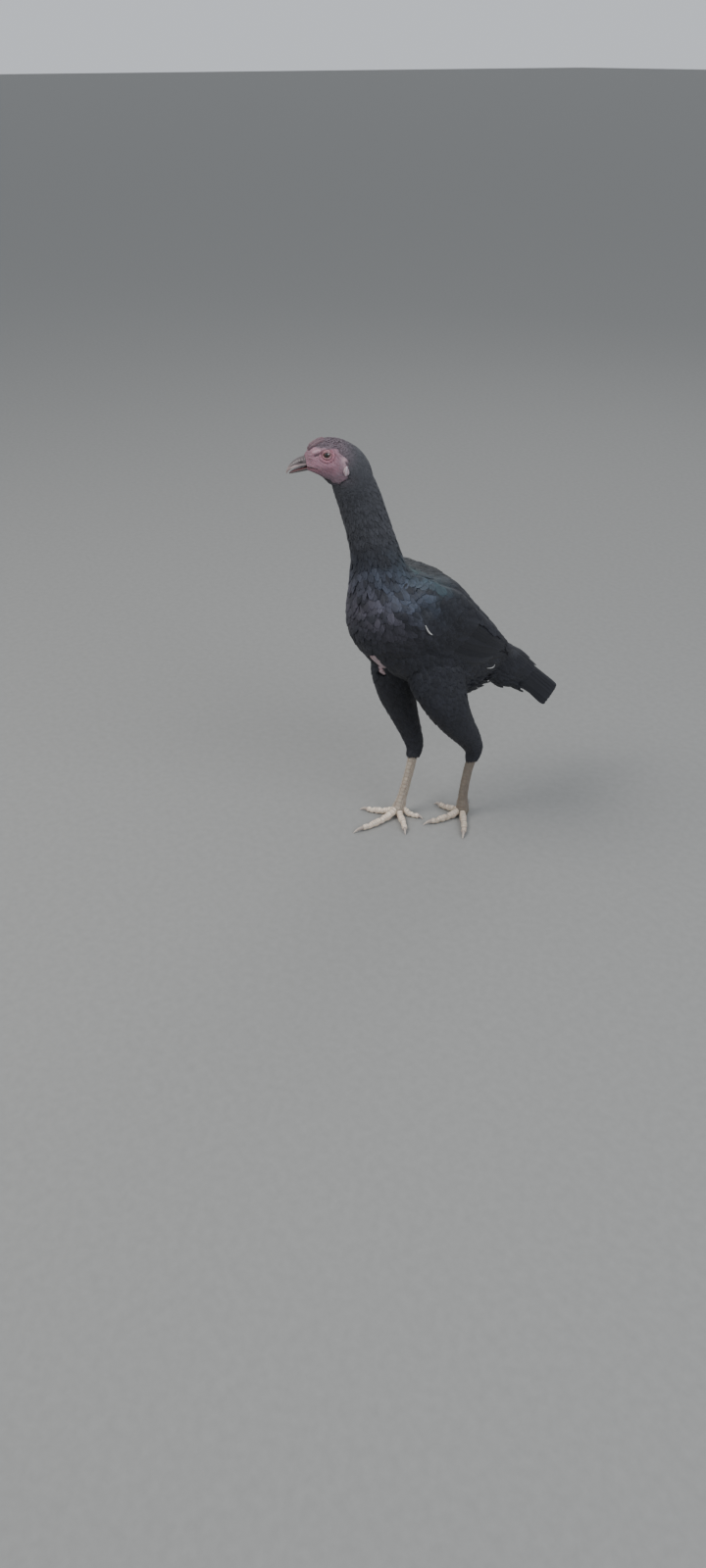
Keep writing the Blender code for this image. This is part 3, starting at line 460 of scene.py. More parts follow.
def body_read(t, angle):
    """The ring point moved out by the flank's fillet and the mantle."""
    t, angle = paired(t, angle)
    lift = grid_read(FLANK, (t - 1.0) * 10.0, np.mod(angle, TURN) / TURN * 180.0)
    lift = lift * smooth_step((8.0 - t) / 0.5) * smooth_step((t - 0.8) / 0.4)
    return bare_body.at(t, angle, lift)


def tail_surface(sign):
    """Tail section: depth * -cos(angle) square to the sloping axis and half width * sin(angle) to one side."""

    def read(t, angle):
        t, angle = paired(t, angle)
        rows = along(TAIL, t)
        cos, sin = np.cos(angle), np.sin(angle)
        depth = np.where(cos > 0, rows[..., 3], rows[..., 2]) * -cos
        level, rise = math.cos(TAIL_SLOPE), math.sin(TAIL_SLOPE)
        forward = TRUNK[1][0] - level * rows[..., 0] + rise * depth
        up = TRUNK[1][1] + rise * rows[..., 0] + level * depth
        return place(forward, sign * rows[..., 1] * sin, up) + STEP

    return Surface(read, (2.0, 1.5), read(2.0, np.array([0.0, math.pi])).mean(axis=0))


def wing_angles(t):
    """Body angles of the folded wing's low and high edge."""
    edges = np.radians(between(WING_EDGES, t))
    return edges[..., 0], edges[..., 1]


def wing_share(t, angle):
    """Place of a body angle between the wing's edges, 0 at the low one and 1 at the high one."""
    low, high = wing_angles(t)
    return (np.abs(from_belly(angle)) - low) / (high - low)


def wing_surface(sign):
    """The body's side under the folded wing, read at a body station and a share from low edge to high edge."""

    def read(t, share):
        t, share = paired(t, share)
        low, high = wing_angles(t)
        return body_ring(t, sign * (low + (high - low) * share))

    return Surface(read, (5.0, 0.5), MIDDLE)


FLANK = flank_table()
body = Surface(body_read, (5.0, math.pi / 2), MIDDLE)


def tier_height(share, tier):
    """Height over the body of a tier's quills, which grows up the wing from lane to lane."""
    base, lane, step, lanes = WING_HULL
    return base + lane * (share * lanes - 0.5) + step * tier


def wing_full(t, share):
    """Height of the folded wing over the body before its edges fall: it grows up the wing and forward."""
    return tier_height(share, tier_at(t))


def edge_fall(share):
    """1 over the wing, falling to a low rim past its upper edge and a lower one past its lower edge."""
    return 1.0 - 0.75 * smooth_step((share - 0.84) / 0.20) - 0.6 * smooth_step((0.08 - share) / 0.14)


def front_fall(t):
    """1 over the wing, falling to a low rim at its front end."""
    return 0.15 + 0.85 * smooth_step((7.05 - t) / 0.95)


def wing_hull(t, share, more=0.0):
    """The wing's height, with what more stands on it, rounded off at its rim and at its front."""
    rim = np.clip(1.0 - np.abs(2.0 * share - 1.0) ** 6, 0.0, 1.0) ** 0.5
    return (wing_full(t, share) + more) * np.minimum(rim, edge_fall(share)) * front_fall(t)


def covert_rise(t):
    """What the top tier's quills stand above the wing's own height, back to their tips."""
    return WING_HULL[2] * smooth_step((t - 4.75) / 0.35) * (TOP_TIER - np.minimum(tier_at(t), TOP_TIER))


def covert_hull(t, share):
    """Height over the roots of the top tier, where the small feathers of the shoulder lie."""
    return wing_hull(t, share, covert_rise(t))


def depth_at(t):
    """Depth of the skin under the coat's outline."""
    return np.interp(t, *np.transpose(COAT_DEPTH))


# Small smooth noise


def ripple(p, size, seed):
    """Noise about 0 with waves near one size: a sum of sines along fixed random directions."""
    rng = np.random.default_rng(seed)
    total = 0.0
    for _ in range(7):
        way = rng.normal(size=3)
        way = way / np.linalg.norm(way) * (TURN / size) * rng.uniform(0.7, 1.4)
        total = total + np.sin(p @ way + rng.uniform(0, 6.28))
    return total / 4.0


# Head places


def in_head(p):
    """Head frame coordinates of world points: forward, left and up from the neck's top."""
    q = p - STEP
    ahead, left, up = -q[..., 1] - PIVOT[0], q[..., 0], q[..., 2] - PIVOT[1]
    cos, sin = math.cos(HEAD_YAW), math.sin(HEAD_YAW)
    return np.stack([ahead * cos + left * sin, left * cos - ahead * sin, up], axis=-1)


def eye_frame(sign):
    """Centre of an eye and its fore, outward and upper directions."""
    centre = head_at(EYE_PLACE[0], EYE_PLACE[1] * sign, EYE_PLACE[2]) + STEP
    faces = unit(np.array(EYE_FACES))
    out = unit(head_at(faces[0], faces[1] * sign, faces[2]) - head_at(0.0, 0.0, 0.0))
    fore = head_at(1.0, 0.0, 0.0) - head_at(0.0, 0.0, 0.0)
    fore = unit(fore - out * out.dot(fore))
    upper = np.cross(out, fore)
    return centre, fore, out, upper * math.copysign(1.0, upper[2])


def mound(h, start, end, radius):
    """Bell of height 1 round the line from start to end, in head coordinates folded onto the left side."""
    gap = off_line(h, np.array(start), np.array(end))[1]
    return np.exp(-((gap / radius) ** 2))


# Bare skin over the keel and on the right thigh beside it: places along the strip as forward, left, up, and
# its half width there
KEEL_STRIP = (
    (0.1300, 0.0110, 0.3400, 0.006),
    (0.1206, 0.0090, 0.3286, 0.0120),
    (0.1097, 0.0050, 0.3085, 0.0125),
    (0.0923, -0.0185, 0.2829, 0.009),
    (0.0840, -0.0165, 0.2750, 0.005),
)


def folded(p):
    """Head frame coordinates with the right side laid over the left."""
    h = in_head(p)
    h[..., 1] = np.abs(h[..., 1])
    return h


def bare_face(p):
    """1 on the bare skin of the face, fading to 0 where the small feathers begin."""
    h = folded(p)
    f, u = h[..., 0], h[..., 2]
    rear = 0.0110 + 0.0100 * smooth_step((u - 0.036) / 0.012) + 0.0080 * smooth_step((0.015 - u) / 0.008)
    wave = 0.0012 * ripple(p, 0.008, 3)
    crown = 0.0505 + 0.05 * (f - 0.036) + wave
    throat = 0.0060 + 0.30 * (f - 0.036) + wave
    mask = smooth_step((f - rear + wave) / 0.005) * smooth_step((crown - u) / 0.003)
    return mask * smooth_step((u - throat) / 0.006)


def keel_patch(p):
    """1 on the bare strip low on the breast and on the thigh's front beside it."""
    wave = 0.0022 * ripple(p, 0.010, 4)
    near = np.full(p.shape[:-1], -1.0)
    for first, second in zip(KEEL_STRIP, KEEL_STRIP[1:]):
        share, gap = off_line(p - STEP, place(*first[:3]), place(*second[:3]))
        near = np.maximum(near, first[3] + (second[3] - first[3]) * share - gap)
    return smooth_step((near + wave) / 0.003)


# Swells and creases of the face: rise, start and end in the head's frame, radius. They are the brow and the
# crease under it, the cheek and the crease over it, the mouth's corner, the jowl, the ear and its opening, two
# creases below the eye and two behind it
FACE_FOLDS = (
    (0.0020, (0.052, 0.0125, 0.0440), (0.034, 0.0165, 0.0500), 0.0030),
    (-0.0017, (0.0515, 0.0135, 0.0402), (0.0420, 0.0160, 0.0445), 0.0013),
    (0.0016, (0.050, 0.0125, 0.0285), (0.030, 0.0185, 0.0280), 0.0038),
    (-0.0008, (0.052, 0.0120, 0.0330), (0.026, 0.0190, 0.0330), 0.0011),
    (-0.0016, (0.062, 0.0080, 0.0262), (0.049, 0.0135, 0.0240), 0.0012),
    (0.0010, (0.052, 0.0100, 0.0190), (0.036, 0.0150, 0.0140), 0.0040),
    (0.0012, (0.015, 0.0240, 0.0330), (0.011, 0.0250, 0.0250), 0.0045),
    (-0.0022, (0.0145, 0.0240, 0.0330), (0.0135, 0.0245, 0.0300), 0.0016),
    (-0.0006, (0.046, 0.0140, 0.0330), (0.036, 0.0185, 0.0295), 0.0009),
    (-0.0005, (0.043, 0.0150, 0.0300), (0.030, 0.0195, 0.0262), 0.0008),
    (-0.0005, (0.029, 0.0190, 0.0440), (0.020, 0.0220, 0.0350), 0.0009),
    (-0.0004, (0.026, 0.0195, 0.0480), (0.017, 0.0230, 0.0400), 0.0009),
)


def face_relief(p):
    """Rise of the head's skin: brow, cheek, jowl and ear swell, sockets, mouth corner and creases sink."""
    h = folded(p)
    bare = bare_face(p)
    rise = 0.0
    for height, start, end, radius in FACE_FOLDS:
        rise = rise + height * mound(h, start, end, radius)
    centre = np.array(EYE_PLACE)
    out = unit(np.array(EYE_FACES))
    away = h - centre
    ring = np.linalg.norm(away - (away @ out)[..., None] * out, axis=-1)
    socket = -0.0052 * smooth_step((0.0068 - ring) / 0.0026)
    socket = socket + 0.0007 * np.exp(-(((ring - 0.0086) / 0.0011) ** 2))
    socket = socket - 0.0005 * np.exp(-(((ring - 0.0103) / 0.0008) ** 2))
    rise = rise + ((away @ out) > -0.004) * socket
    fine = 0.00030 * ripple(p, 0.0026, 5) + 0.00022 * ripple(p * np.array([1.0, 1.0, 2.4]), 0.0014, 6)
    return rise + bare * fine


# Markings, with painted sheen and painted shade

DUSK = np.array([0.138, 0.100, 0.122])
BLACK = np.array([0.0165, 0.0175, 0.0240])
# Colours of the painted sheen on the black feathers
SHEEN_BLUE = np.array([0.060, 0.074, 0.106])
SHEEN_TEAL = np.array([0.038, 0.076, 0.084])
SHEEN_VIOLET = np.array([0.092, 0.082, 0.108])
GREY = np.array([0.066, 0.068, 0.078])
PARTED = np.array([0.15, 0.155, 0.165])


def markings_with_painted_light(p):
    """Colour of the plumage: near black, greyer on the neck, with painted sheen of blue, teal and violet in
    patches that is strongest on the upper breast and the shoulder."""
    q = p - STEP
    ahead, up = -q[..., 1], q[..., 2]
    chest = np.exp(-(((ahead - 0.118) / 0.050) ** 2) - (((up - 0.422) / 0.045) ** 2))
    shoulder = np.exp(-(((ahead - 0.060) / 0.040) ** 2) - (((up - 0.458) / 0.030) ** 2))
    neck = smooth_step((up - 0.46) / 0.06)
    head = smooth_step((up - 0.575) / 0.025)
    patch = 0.5 + 0.5 * np.clip(ripple(p, 0.045, 11), -1, 1)
    speck = 0.5 + 0.5 * np.clip(1.3 * ripple(p, 0.020, 12), -1, 1)
    # spine: painted shade along the back between the wings; it darkens the black and weakens the painted sheen
    # there
    spine = smooth_step((0.045 - q[..., 0]) / 0.025) * smooth_step((q[..., 0] + 0.070) / 0.020)
    spine = spine * smooth_step((up - 0.80 * ahead - 0.375) / 0.02) * smooth_step((0.115 - ahead) / 0.03)
    # gloss: share of painted sheen, the feathers' reflection of bright surroundings laid into their colour
    gloss = np.clip(1.10 * chest + 0.85 * shoulder, 0, 1.2) * (0.10 + 0.90 * speck) * (1.0 - 0.8 * spine)
    hue = smooth_step((ahead - up + 0.315 + 0.02 * patch) / 0.07)[..., None]
    sheen_tint = SHEEN_BLUE * (1 - hue) + SHEEN_VIOLET * hue
    sheen_tint = mix(sheen_tint, SHEEN_TEAL, np.clip(smooth_step((up - ahead - 0.330) / 0.07) * (0.5 + patch), 0, 1))
    colour = mix(BLACK * (1.0 - 0.6 * spine[..., None]), sheen_tint, gloss)
    parted = np.exp(-(np.linalg.norm(q - place(0.0830, 0.0640, 0.4040), axis=-1) / 0.0090) ** 2)
    colour = mix(colour, PARTED, 0.8 * parted)
    h = folded(p)
    throat = head * smooth_step((0.024 - h[..., 2]) / 0.02) * smooth_step((h[..., 0] + 0.004) / 0.02)
    crown = head * smooth_step((h[..., 0] + 0.006) / 0.030) * smooth_step((h[..., 2] - 0.020) / 0.02)
    colour = mix(colour, GREY, 0.62 * neck + 0.15 * head)
    return mix(colour, DUSK, np.clip(0.80 * crown + 0.55 * throat, 0, 0.85))


FACE = np.array([0.300, 0.165, 0.205])
FLUSH = np.array([0.360, 0.140, 0.180])
KEEL = np.array([0.50, 0.37, 0.39])
# Pale skin of the mouth corner and ear, also used as the painted highlight on the brow ridge
PALE_SKIN_AND_BROW_HIGHLIGHT = np.array([0.46, 0.31, 0.35])


def skin_colour_with_painted_light(p):
    """Bare face pinkish mauve, redder at the lids and mouth corner and darker at its edges, with painted shade
    in its creases and a painted highlight on the brow ridge; plumage elsewhere, darkened as painted shade under
    the coat, with the pale strip at the keel."""
    h = folded(p)
    away = np.linalg.norm(h - np.array(EYE_PLACE) - np.array([0, 0.004, 0]), axis=-1)
    flush = np.exp(-(((away - 0.006) / 0.0035) ** 2))
    flush = flush + mound(h, (0.060, 0.009, 0.026), (0.047, 0.014, 0.0235), 0.003)
    mottle = 0.5 + 0.5 * np.clip(ripple(p, 0.0040, 21), -1, 1)
    dusk = np.clip(smooth_step((0.030 - h[..., 0]) / 0.014) + smooth_step((0.0245 - h[..., 2]) / 0.012) +
                   smooth_step((h[..., 2] - 0.0475) / 0.004), 0, 1)
    skin = mix(FACE, FLUSH, np.clip(0.6 * flush + 0.25 * mottle - 0.12, 0, 1))
    # brow: painted highlight along the ridge over the eye; the pale mouth corner and ear are the skin's own
    # colour
    brow = mound(h, (0.052, 0.0125, 0.0440), (0.035, 0.0165, 0.0500), 0.0020)
    front = smooth_step((h[..., 0] - 0.0515) / 0.007) * smooth_step((h[..., 2] - 0.030) / 0.006)
    skin = skin * (1.0 - 0.35 * front[..., None])
    gape = mound(h, (0.0600, 0.0100, 0.0272), (0.0440, 0.0165, 0.0262), 0.0020)
    ear = mound(h, (0.0165, 0.0240, 0.0370), (0.0150, 0.0240, 0.0270), 0.0042)
    skin = mix(skin, DUSK * 1.15, 0.80 * dusk)
    skin = mix(skin, PALE_SKIN_AND_BROW_HIGHLIGHT, np.clip(0.75 * brow + 0.70 * gape + 0.65 * ear, 0, 1))
    # Painted shade: the skin is darkened where the relief sinks, in creases, hollows and sockets
    crease_shade = np.clip(-face_relief(p) / 0.0010, 0, 1)[..., None]
    skin = skin * (1.0 - 0.62 * crease_shade)
    # Plumage colours darkened as painted shade under the coat, where the skin shows only between feathers
    plumage = markings_with_painted_light(p) * 0.8
    on_head = smooth_step(h[..., 0] / 0.02) * smooth_step((h[..., 2] - 0.005) / 0.01)
    plumage = mix(plumage, DUSK * 0.9, 0.7 * on_head)
    plumage = mix(plumage, KEEL * (0.75 + 0.3 * mottle[..., None]), keel_patch(p))
    return mix(plumage, skin, bare_face(p))


# Meshes


def make_piece(name, points, faces, finish, colours=None, maps=(), values=(), rims=None):
    """Mesh of equal-sided face groups, with its colours, number attributes and UV maps set by vertex. Edges
    between vertices of one rim number are sharp."""
    points = np.asarray(points, np.float32).reshape(-1, 3)
    groups = [np.asarray(group, np.int64) for group in faces if len(group)]
    loops = np.concatenate([group.reshape(-1) for group in groups])
    totals = np.concatenate([np.full(len(group), group.shape[1]) for group in groups])
    starts = np.concatenate([[0], np.cumsum(totals)[:-1]])
    mesh = bpy.data.meshes.new(name)
    mesh.vertices.add(len(points))
    mesh.vertices.foreach_set("co", points.reshape(-1))
    mesh.loops.add(len(loops))
    mesh.loops.foreach_set("vertex_index", loops.astype(np.int32))
    mesh.polygons.add(len(totals))
    mesh.polygons.foreach_set("loop_start", starts.astype(np.int32))
    mesh.update(calc_edges=True)
    mesh.polygons.foreach_set("use_smooth", np.full(len(totals), True))
    if colours is not None:
        rgba = np.ones((len(points), 4), np.float32)
        rgba[:, :3] = np.asarray(colours).reshape(-1, 3)
        layer = mesh.attributes.new("dye", "FLOAT_COLOR", "POINT")
        layer.data.foreach_set("color", rgba.reshape(-1))
    for title, numbers in values:
        layer = mesh.attributes.new(title, "FLOAT", "POINT")
        layer.data.foreach_set("value", np.asarray(numbers, np.float32).reshape(-1))
    for title, uv in maps:
        layer = mesh.uv_layers.new(name=title)
        layer.data.foreach_set("uv", np.asarray(uv, np.float32).reshape(-1, 2)[loops].reshape(-1))
    if rims is not None:
        ends = np.empty(len(mesh.edges) * 2, np.int32)
        mesh.edges.foreach_get("vertices", ends)
        ends = np.asarray(rims)[ends.reshape(-1, 2)]
        sharp = mesh.attributes.new("sharp_edge", "BOOLEAN", "EDGE")
        sharp.data.foreach_set("value", (ends[:, 0] > 0) & (ends[:, 0] == ends[:, 1]))
    mesh.materials.append(finish)
    mesh.update()
    piece = bpy.data.objects.new(name, mesh)
    bpy.context.scene.collection.objects.link(piece)
    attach(piece, "root")
    return piece


def grid_faces(rows, columns):
    """Quads of a grid of rows by columns whose columns close into rings."""
    row, column = grid(np.arange(rows - 1), np.arange(columns))
    a, b = row * columns + column, row * columns + (column + 1) % columns
    return np.stack([a, b, b + columns, a + columns], axis=-1).reshape(-1, 4)


def tube(rings):
    """Points, quads and triangles of rings, closed at both ends by a fan to the ring's middle, facing out."""
    rings = np.asarray(rings, float)
    rows, columns = rings.shape[:2]
    ends = np.array([rings[0].mean(axis=0), rings[-1].mean(axis=0)])
    points = np.vstack([rings.reshape(-1, 3), ends])
    quads = grid_faces(rows, columns)
    k = np.arange(columns)
    n = (k + 1) % columns
    last = (rows - 1) * columns
    start = np.stack([n, k, np.full(columns, rows * columns)], axis=-1)
    stop = np.stack([last + k, last + n, np.full(columns, rows * columns + 1)], axis=-1)
    middle = rows // 2
    centre = rings[middle].mean(axis=0)
    edge_a = rings[middle, 1] - rings[middle, 0]
    edge_b = rings[min(middle + 1, rows - 1), 0] - rings[middle - 1, 0]
    if np.cross(edge_a, edge_b).dot(rings[middle, 0] - centre) < 0:
        return points, [quads[:, ::-1], np.vstack([start, stop])[:, ::-1]]
    return points, [quads, np.vstack([start, stop])]


def with_ends(values):
    """Ring values with those of the two closing points added."""
    values = np.asarray(values, float)
    ends = np.array([values[0].mean(axis=0), values[-1].mean(axis=0)])
    return np.concatenate([values.reshape(-1, *values.shape[2:]), ends])


def tube_map(u, v):
    """Map of a closed tube from the places of its ring points."""
    return with_ends(np.stack([u, v], axis=-1))


def even_map(rings):
    """Map of a closed tube spread evenly round its rings and along its line."""
    v, u = grid(np.linspace(0, 1, rings.shape[0]), np.linspace(0, 1, rings.shape[1]))
    return tube_map(u, v)


def about(line, first, reach, second, height):
    """Rings round a line: a point stands at a reach along the first direction and a height along the second."""
    first, second = first[..., None, :], second[..., None, :]
    return line[:, None, :] + first * reach[..., None] + second * height[..., None]


# Outlines of vanes: share of the length, share of the half width

SOFT = ((0.0, 0.30), (0.25, 0.85), (0.55, 1.0), (0.80, 0.90), (0.93, 0.62), (1.0, 0.22))
HACKLE = ((0.0, 0.35), (0.30, 0.95), (0.60, 1.0), (0.82, 0.72), (0.94, 0.40), (1.0, 0.10))
QUILL = ((0.0, 0.25), (0.10, 0.70), (0.25, 0.95), (0.45, 1.0), (0.65, 1.0), (0.82, 0.95), (0.92, 0.80),
         (0.97, 0.58), (1.0, 0.30))
SQUARE = ((0.0, 0.30), (0.12, 0.72), (0.30, 0.95), (0.50, 1.0), (0.70, 1.0), (0.86, 1.0), (0.95, 0.94),
          (0.985, 0.76), (1.0, 0.50))


def vanes(surface, sense, t, a, length, width, root, tip, outline, turn=0.0, across=3, thick=THIN,
          cup=0.10, hull=None, seed=0, web=0.5):
    """Closed vanes. A point at share s and side x stands at the root's station and angle, moved s * length with
    the lie and x * half width across it, lifted from root to tip height, less the cup's x squared."""
    t, a = np.asarray(t, float), np.asarray(a, float)
    count = len(t)
    rng = np.random.default_rng(seed)
    length, width, root, tip, turn = (np.broadcast_to(v, (count,))[:, None, None] for v in
                                      (length, width, root, tip, turn))
    step_t, step_a = (np.maximum(pace, 1e-4)[:, None, None] for pace in surface.pace(t, a))
    shares, widths = np.array(outline).T
    top = np.linspace(-1.0, 1.0, across)
    x = np.concatenate([top, top[-2:0:-1]])[None, None, :]
    face = np.concatenate([np.r_[0.0, np.ones(across - 2), 0.0], -np.ones(across - 2)])[None, None, :]
    s = shares[None, :, None]
    half = width / 2 * widths[None, :, None]
    run = length * s
    lag = -np.abs(x) ** 1.6 * half * 0.55 * s
    cos, sin = np.cos(turn), np.sin(turn)
    reach = run + lag
    side = half * x * np.where(x > 0, 2 - 2 * web, 2 * web)
    at_t = t[:, None, None] + (sense * cos * reach + sin * side) / step_t
    at_a = a[:, None, None] + (sin * reach * sense * -1.0 + cos * side) / step_a
    bow = 0.3 * (tip - root) * np.sin(math.pi * s)
    lift = root + (tip - root) * s + bow - cup * half * x ** 2
    lift = lift + face * thick / 2 * (1.0 - 0.6 * s)
    lift = lift + rng.normal(size=(count, 1, 1)) * 0.0001
    at_t, at_a, lift = np.broadcast_arrays(at_t, at_a, lift)
    if hull is not None:
        lift = lift + hull(at_t, at_a)
    points = surface.at(at_t, at_a, lift)
    ring = points.shape[2]
    rows = len(shares)
    quads = grid_faces(rows, ring)
    caps = np.stack([np.arange(ring)[::-1], (rows - 1) * ring + np.arange(ring)])
    base = np.arange(count)[:, None, None] * rows * ring
    faces = [(quads[None] + base).reshape(-1, 4), (caps[None] + base).reshape(-1, ring)]
    if surface.side * sense < 0:
        faces = [group[:, ::-1] for group in faces]
    x, s = np.broadcast_arrays(x, s)
    x, s = (np.broadcast_to(v, (count, rows, ring)) for v in (x, s))
    rim = np.zeros((count, rows, ring), int)
    rim[:, :, 0], rim[:, :, across - 1] = 1, 2
    luck = np.broadcast_to(rng.random((count, 1, 1)), x.shape)
    return {"points": points, "faces": faces, "x": x, "s": s, "rim": rim, "luck": luck, "root": (t, a)}


def cut_at_keel(surface, sense, t, a, long):
    """Lengths cut where the vane's own stretch, read at three shares of it, runs over the bare strip."""
    pace = surface.pace(t, a)[0]
    for share in (0.4, 0.7, 1.0):
        bald = keel_patch(surface.at(t + sense * share * long / pace, a))
        long = long * (1.0 - (1.0 - 0.8 * share) * bald)
    return long


def soft_vanes(surface, t, a, long, wide, root, tip, lean, cover, seed):
    """Broad soft vanes that lie rearward over a cover."""
    return vanes(surface, -1.0, t, a, long, wide, root, tip, SOFT, lean, 5, BROAD, 0.16, cover, seed)


def coat(name, tufts, shade=1.0, seed=1, flow=False):
    """One piece from vane sets: each tuft takes the markings at its middle, or all along where they flow, and
    its patch of the bake map lies at its root's place on the skin's unwrap."""
    points, groups, colours, bake, vane, luck, rims = [], {}, [], [], [], [], []
    first = 0
    for tuft, unwrap in tufts:
        p = tuft["points"]
        flat = p.reshape(-1, 3)
        for group in tuft["faces"]:
            groups.setdefault(group.shape[1], []).append(group + first)
        first += len(flat)
        points.append(flat)
        rng = np.random.default_rng(seed)
        root = p[:, p.shape[1] // 2].mean(axis=1)
        dye = markings_with_painted_light(p) if flow else markings_with_painted_light(root)[:, None, None, :]
        dye = dye * rng.uniform(0.72, 1.25, (len(root), 1, 1, 1)) * shade * (0.80 + 0.35 * tuft["s"][..., None])
        colours.append(dye.reshape(-1, 3))
        u, v = unwrap(*tuft["root"])
        patch = PATCH * np.stack([tuft["x"] * 0.5, tuft["s"] - 0.5], axis=-1)
        bake.append((np.stack([u, v], axis=-1)[:, None, None, :] + patch).reshape(-1, 2))
        vane.append(np.stack([tuft["x"] * 0.5 + 0.5, tuft["s"]], axis=-1).reshape(-1, 2))
        luck.append(tuft["luck"].reshape(-1))
        rims.append(tuft["rim"].reshape(-1))
    faces = [np.concatenate(groups[size]) for size in sorted(groups)]
    return make_piece(name, np.concatenate(points), faces, FEATHER, np.concatenate(colours),
                      [("OFBake", np.concatenate(bake)), ("Vane", np.concatenate(vane))],
                      [("luck", np.concatenate(luck))], np.concatenate(rims))


def even(size):
    """The same spacing at every station."""
    return lambda t: size + 0 * t


def graded(knots, sizes):
    """Spacing read between knots along the stations."""
    return lambda t: np.interp(t, knots, sizes)


def varied(rng, t, knots, sizes, least, most):
    """Sizes read between knots at the stations, times luck from least to most."""
    return np.interp(t, knots, sizes) * rng.uniform(least, most, len(t))


def scatter(surface, start, stop, step, gap, seed, jitter=0.30, turns=TURN, from_angle=0.0):
    """Roots in staggered rows: step and gap, in metres, give the row spacing and the spacing in a row."""
    rng = np.random.default_rng(seed)
    fine = np.linspace(start, stop, 400)
    probe = from_angle + turns * (np.arange(16) + 0.5) / 16
    pace = surface.pace(fine[:, None], probe[None, :])[0].mean(axis=1)
    number = np.concatenate([[0.0], np.cumsum(0.5 * (pace[1:] / step(fine[1:]) + pace[:-1] / step(fine[:-1])))
                             * abs(fine[1] - fine[0])])
    stations = np.interp(np.arange(0.5, number[-1]), number, fine)
    ts, angles = [], []
    for row, t in enumerate(stations):
        ring = np.linspace(from_angle, from_angle + turns, 97)
        loop = surface.read(np.full(97, t), ring)
        run = np.concatenate([[0.0], np.cumsum(np.linalg.norm(np.diff(loop, axis=0), axis=-1))])
        many = max(int(run[-1] / gap(t)), 1)
        marks = (np.arange(many) + 0.5 * (row % 2) + rng.uniform(-jitter, jitter, many)) / many * run[-1]
        angles.append(np.interp(np.mod(marks, run[-1]), run, ring))
        ts.append(t + rng.uniform(-jitter, jitter, many) * step(t) / np.interp(t, fine, pace))
    return np.concatenate(ts), np.concatenate(angles)


# Finishes


class Wire:
    """One socket whose arithmetic adds Math nodes."""

    def __init__(self, finish, socket):
        self.finish = finish
        self.socket = socket

    def math(self, operation, other, turned=False):
        """Math node on this socket and another value, in turned order where asked."""
        pair = (other, self) if turned else (self, other)
        return self.finish.add("ShaderNodeMath", {"operation": operation}, {0: pair[0], 1: pair[1]})

    def __add__(self, other):
        return self.math("ADD", other)

    __radd__ = __add__

    def __mul__(self, other):
        return self.math("MULTIPLY", other)

    __rmul__ = __mul__

    def __sub__(self, other):
        return self.math("SUBTRACT", other)

    def __rsub__(self, other):
        return self.math("SUBTRACT", other, True)

    def __pow__(self, other):
        return self.math("POWER", other)

    def low(self, other):
        return self.math("MINIMUM", other)

    def high(self, other):
        return self.math("MAXIMUM", other)


class Finish:
    """Material with one Principled BSDF, built from named nodes."""

    def __init__(self, name, **constants):
        self.material = bpy.data.materials.new(name)
        self.material.use_nodes = True
        self.tree = self.material.node_tree
        self.tree.nodes.clear()
        self.shader = self.tree.nodes.new("ShaderNodeBsdfPrincipled")
        output = self.tree.nodes.new("ShaderNodeOutputMaterial")
        self.tree.links.new(self.shader.outputs[0], output.inputs[0])
        self.feed(**constants)

    def add(self, kind, settings=None, inputs=None, output=0):
        """Any node: its settings, its inputs as values or wires, and the output that is handed back."""
        node = self.tree.nodes.new(kind)
        for key, value in (settings or {}).items():
            if key == "stops":
                ramp = node.color_ramp.elements
                for position, colour in value[1:-1]:
                    ramp.new(position)
                for element, (position, colour) in zip(ramp, value):
                    element.position = position
                    element.color = (*colour, 1.0)
            else:
                setattr(node, key, value)
        for key, value in (inputs or {}).items():
            self.join(node.inputs[key], value)
        return Wire(self, node.outputs[output])

    def join(self, socket, value):
        if isinstance(value, Wire):
            self.tree.links.new(value.socket, socket)
        else:
            socket.default_value = value

    def feed(self, **values):
        for key, value in values.items():
            self.join(self.shader.inputs[key.replace("_", " ")], value)

    def dye(self):
        return self.add("ShaderNodeAttribute", {"attribute_name": "dye"}, {}, "Color")

    def number(self, name):
        return self.add("ShaderNodeAttribute", {"attribute_name": name}, {}, "Fac")

    def noise(self, scale, detail=2.0, rough=0.5):
        """Noise by the object's own coordinates."""
        where = self.add("ShaderNodeTexCoord", {}, {}, "Object")
        return self.add("ShaderNodeTexNoise", {}, {"Vector": where, "Scale": scale, "Detail": detail,
                                                  "Roughness": rough}, "Fac")

    def blend(self, factor, first, second, kind="MIX"):
        return self.add("ShaderNodeMix", {"data_type": "RGBA", "blend_type": kind, "clamp_factor": True},
                        {0: factor, 6: first, 7: second}, 2)

    def grey(self, tone):
        return self.add("ShaderNodeCombineColor", {}, {0: tone, 1: tone, 2: tone})

    def shaded(self, tone):
        """The piece's vertex colours times a grey tone."""
        return self.blend(1.0, self.dye(), self.grey(tone), "MULTIPLY")

    def bump(self, height, strength, distance):
        return self.add("ShaderNodeBump", {}, {"Height": height, "Strength": strength, "Distance": distance},
                        "Normal")


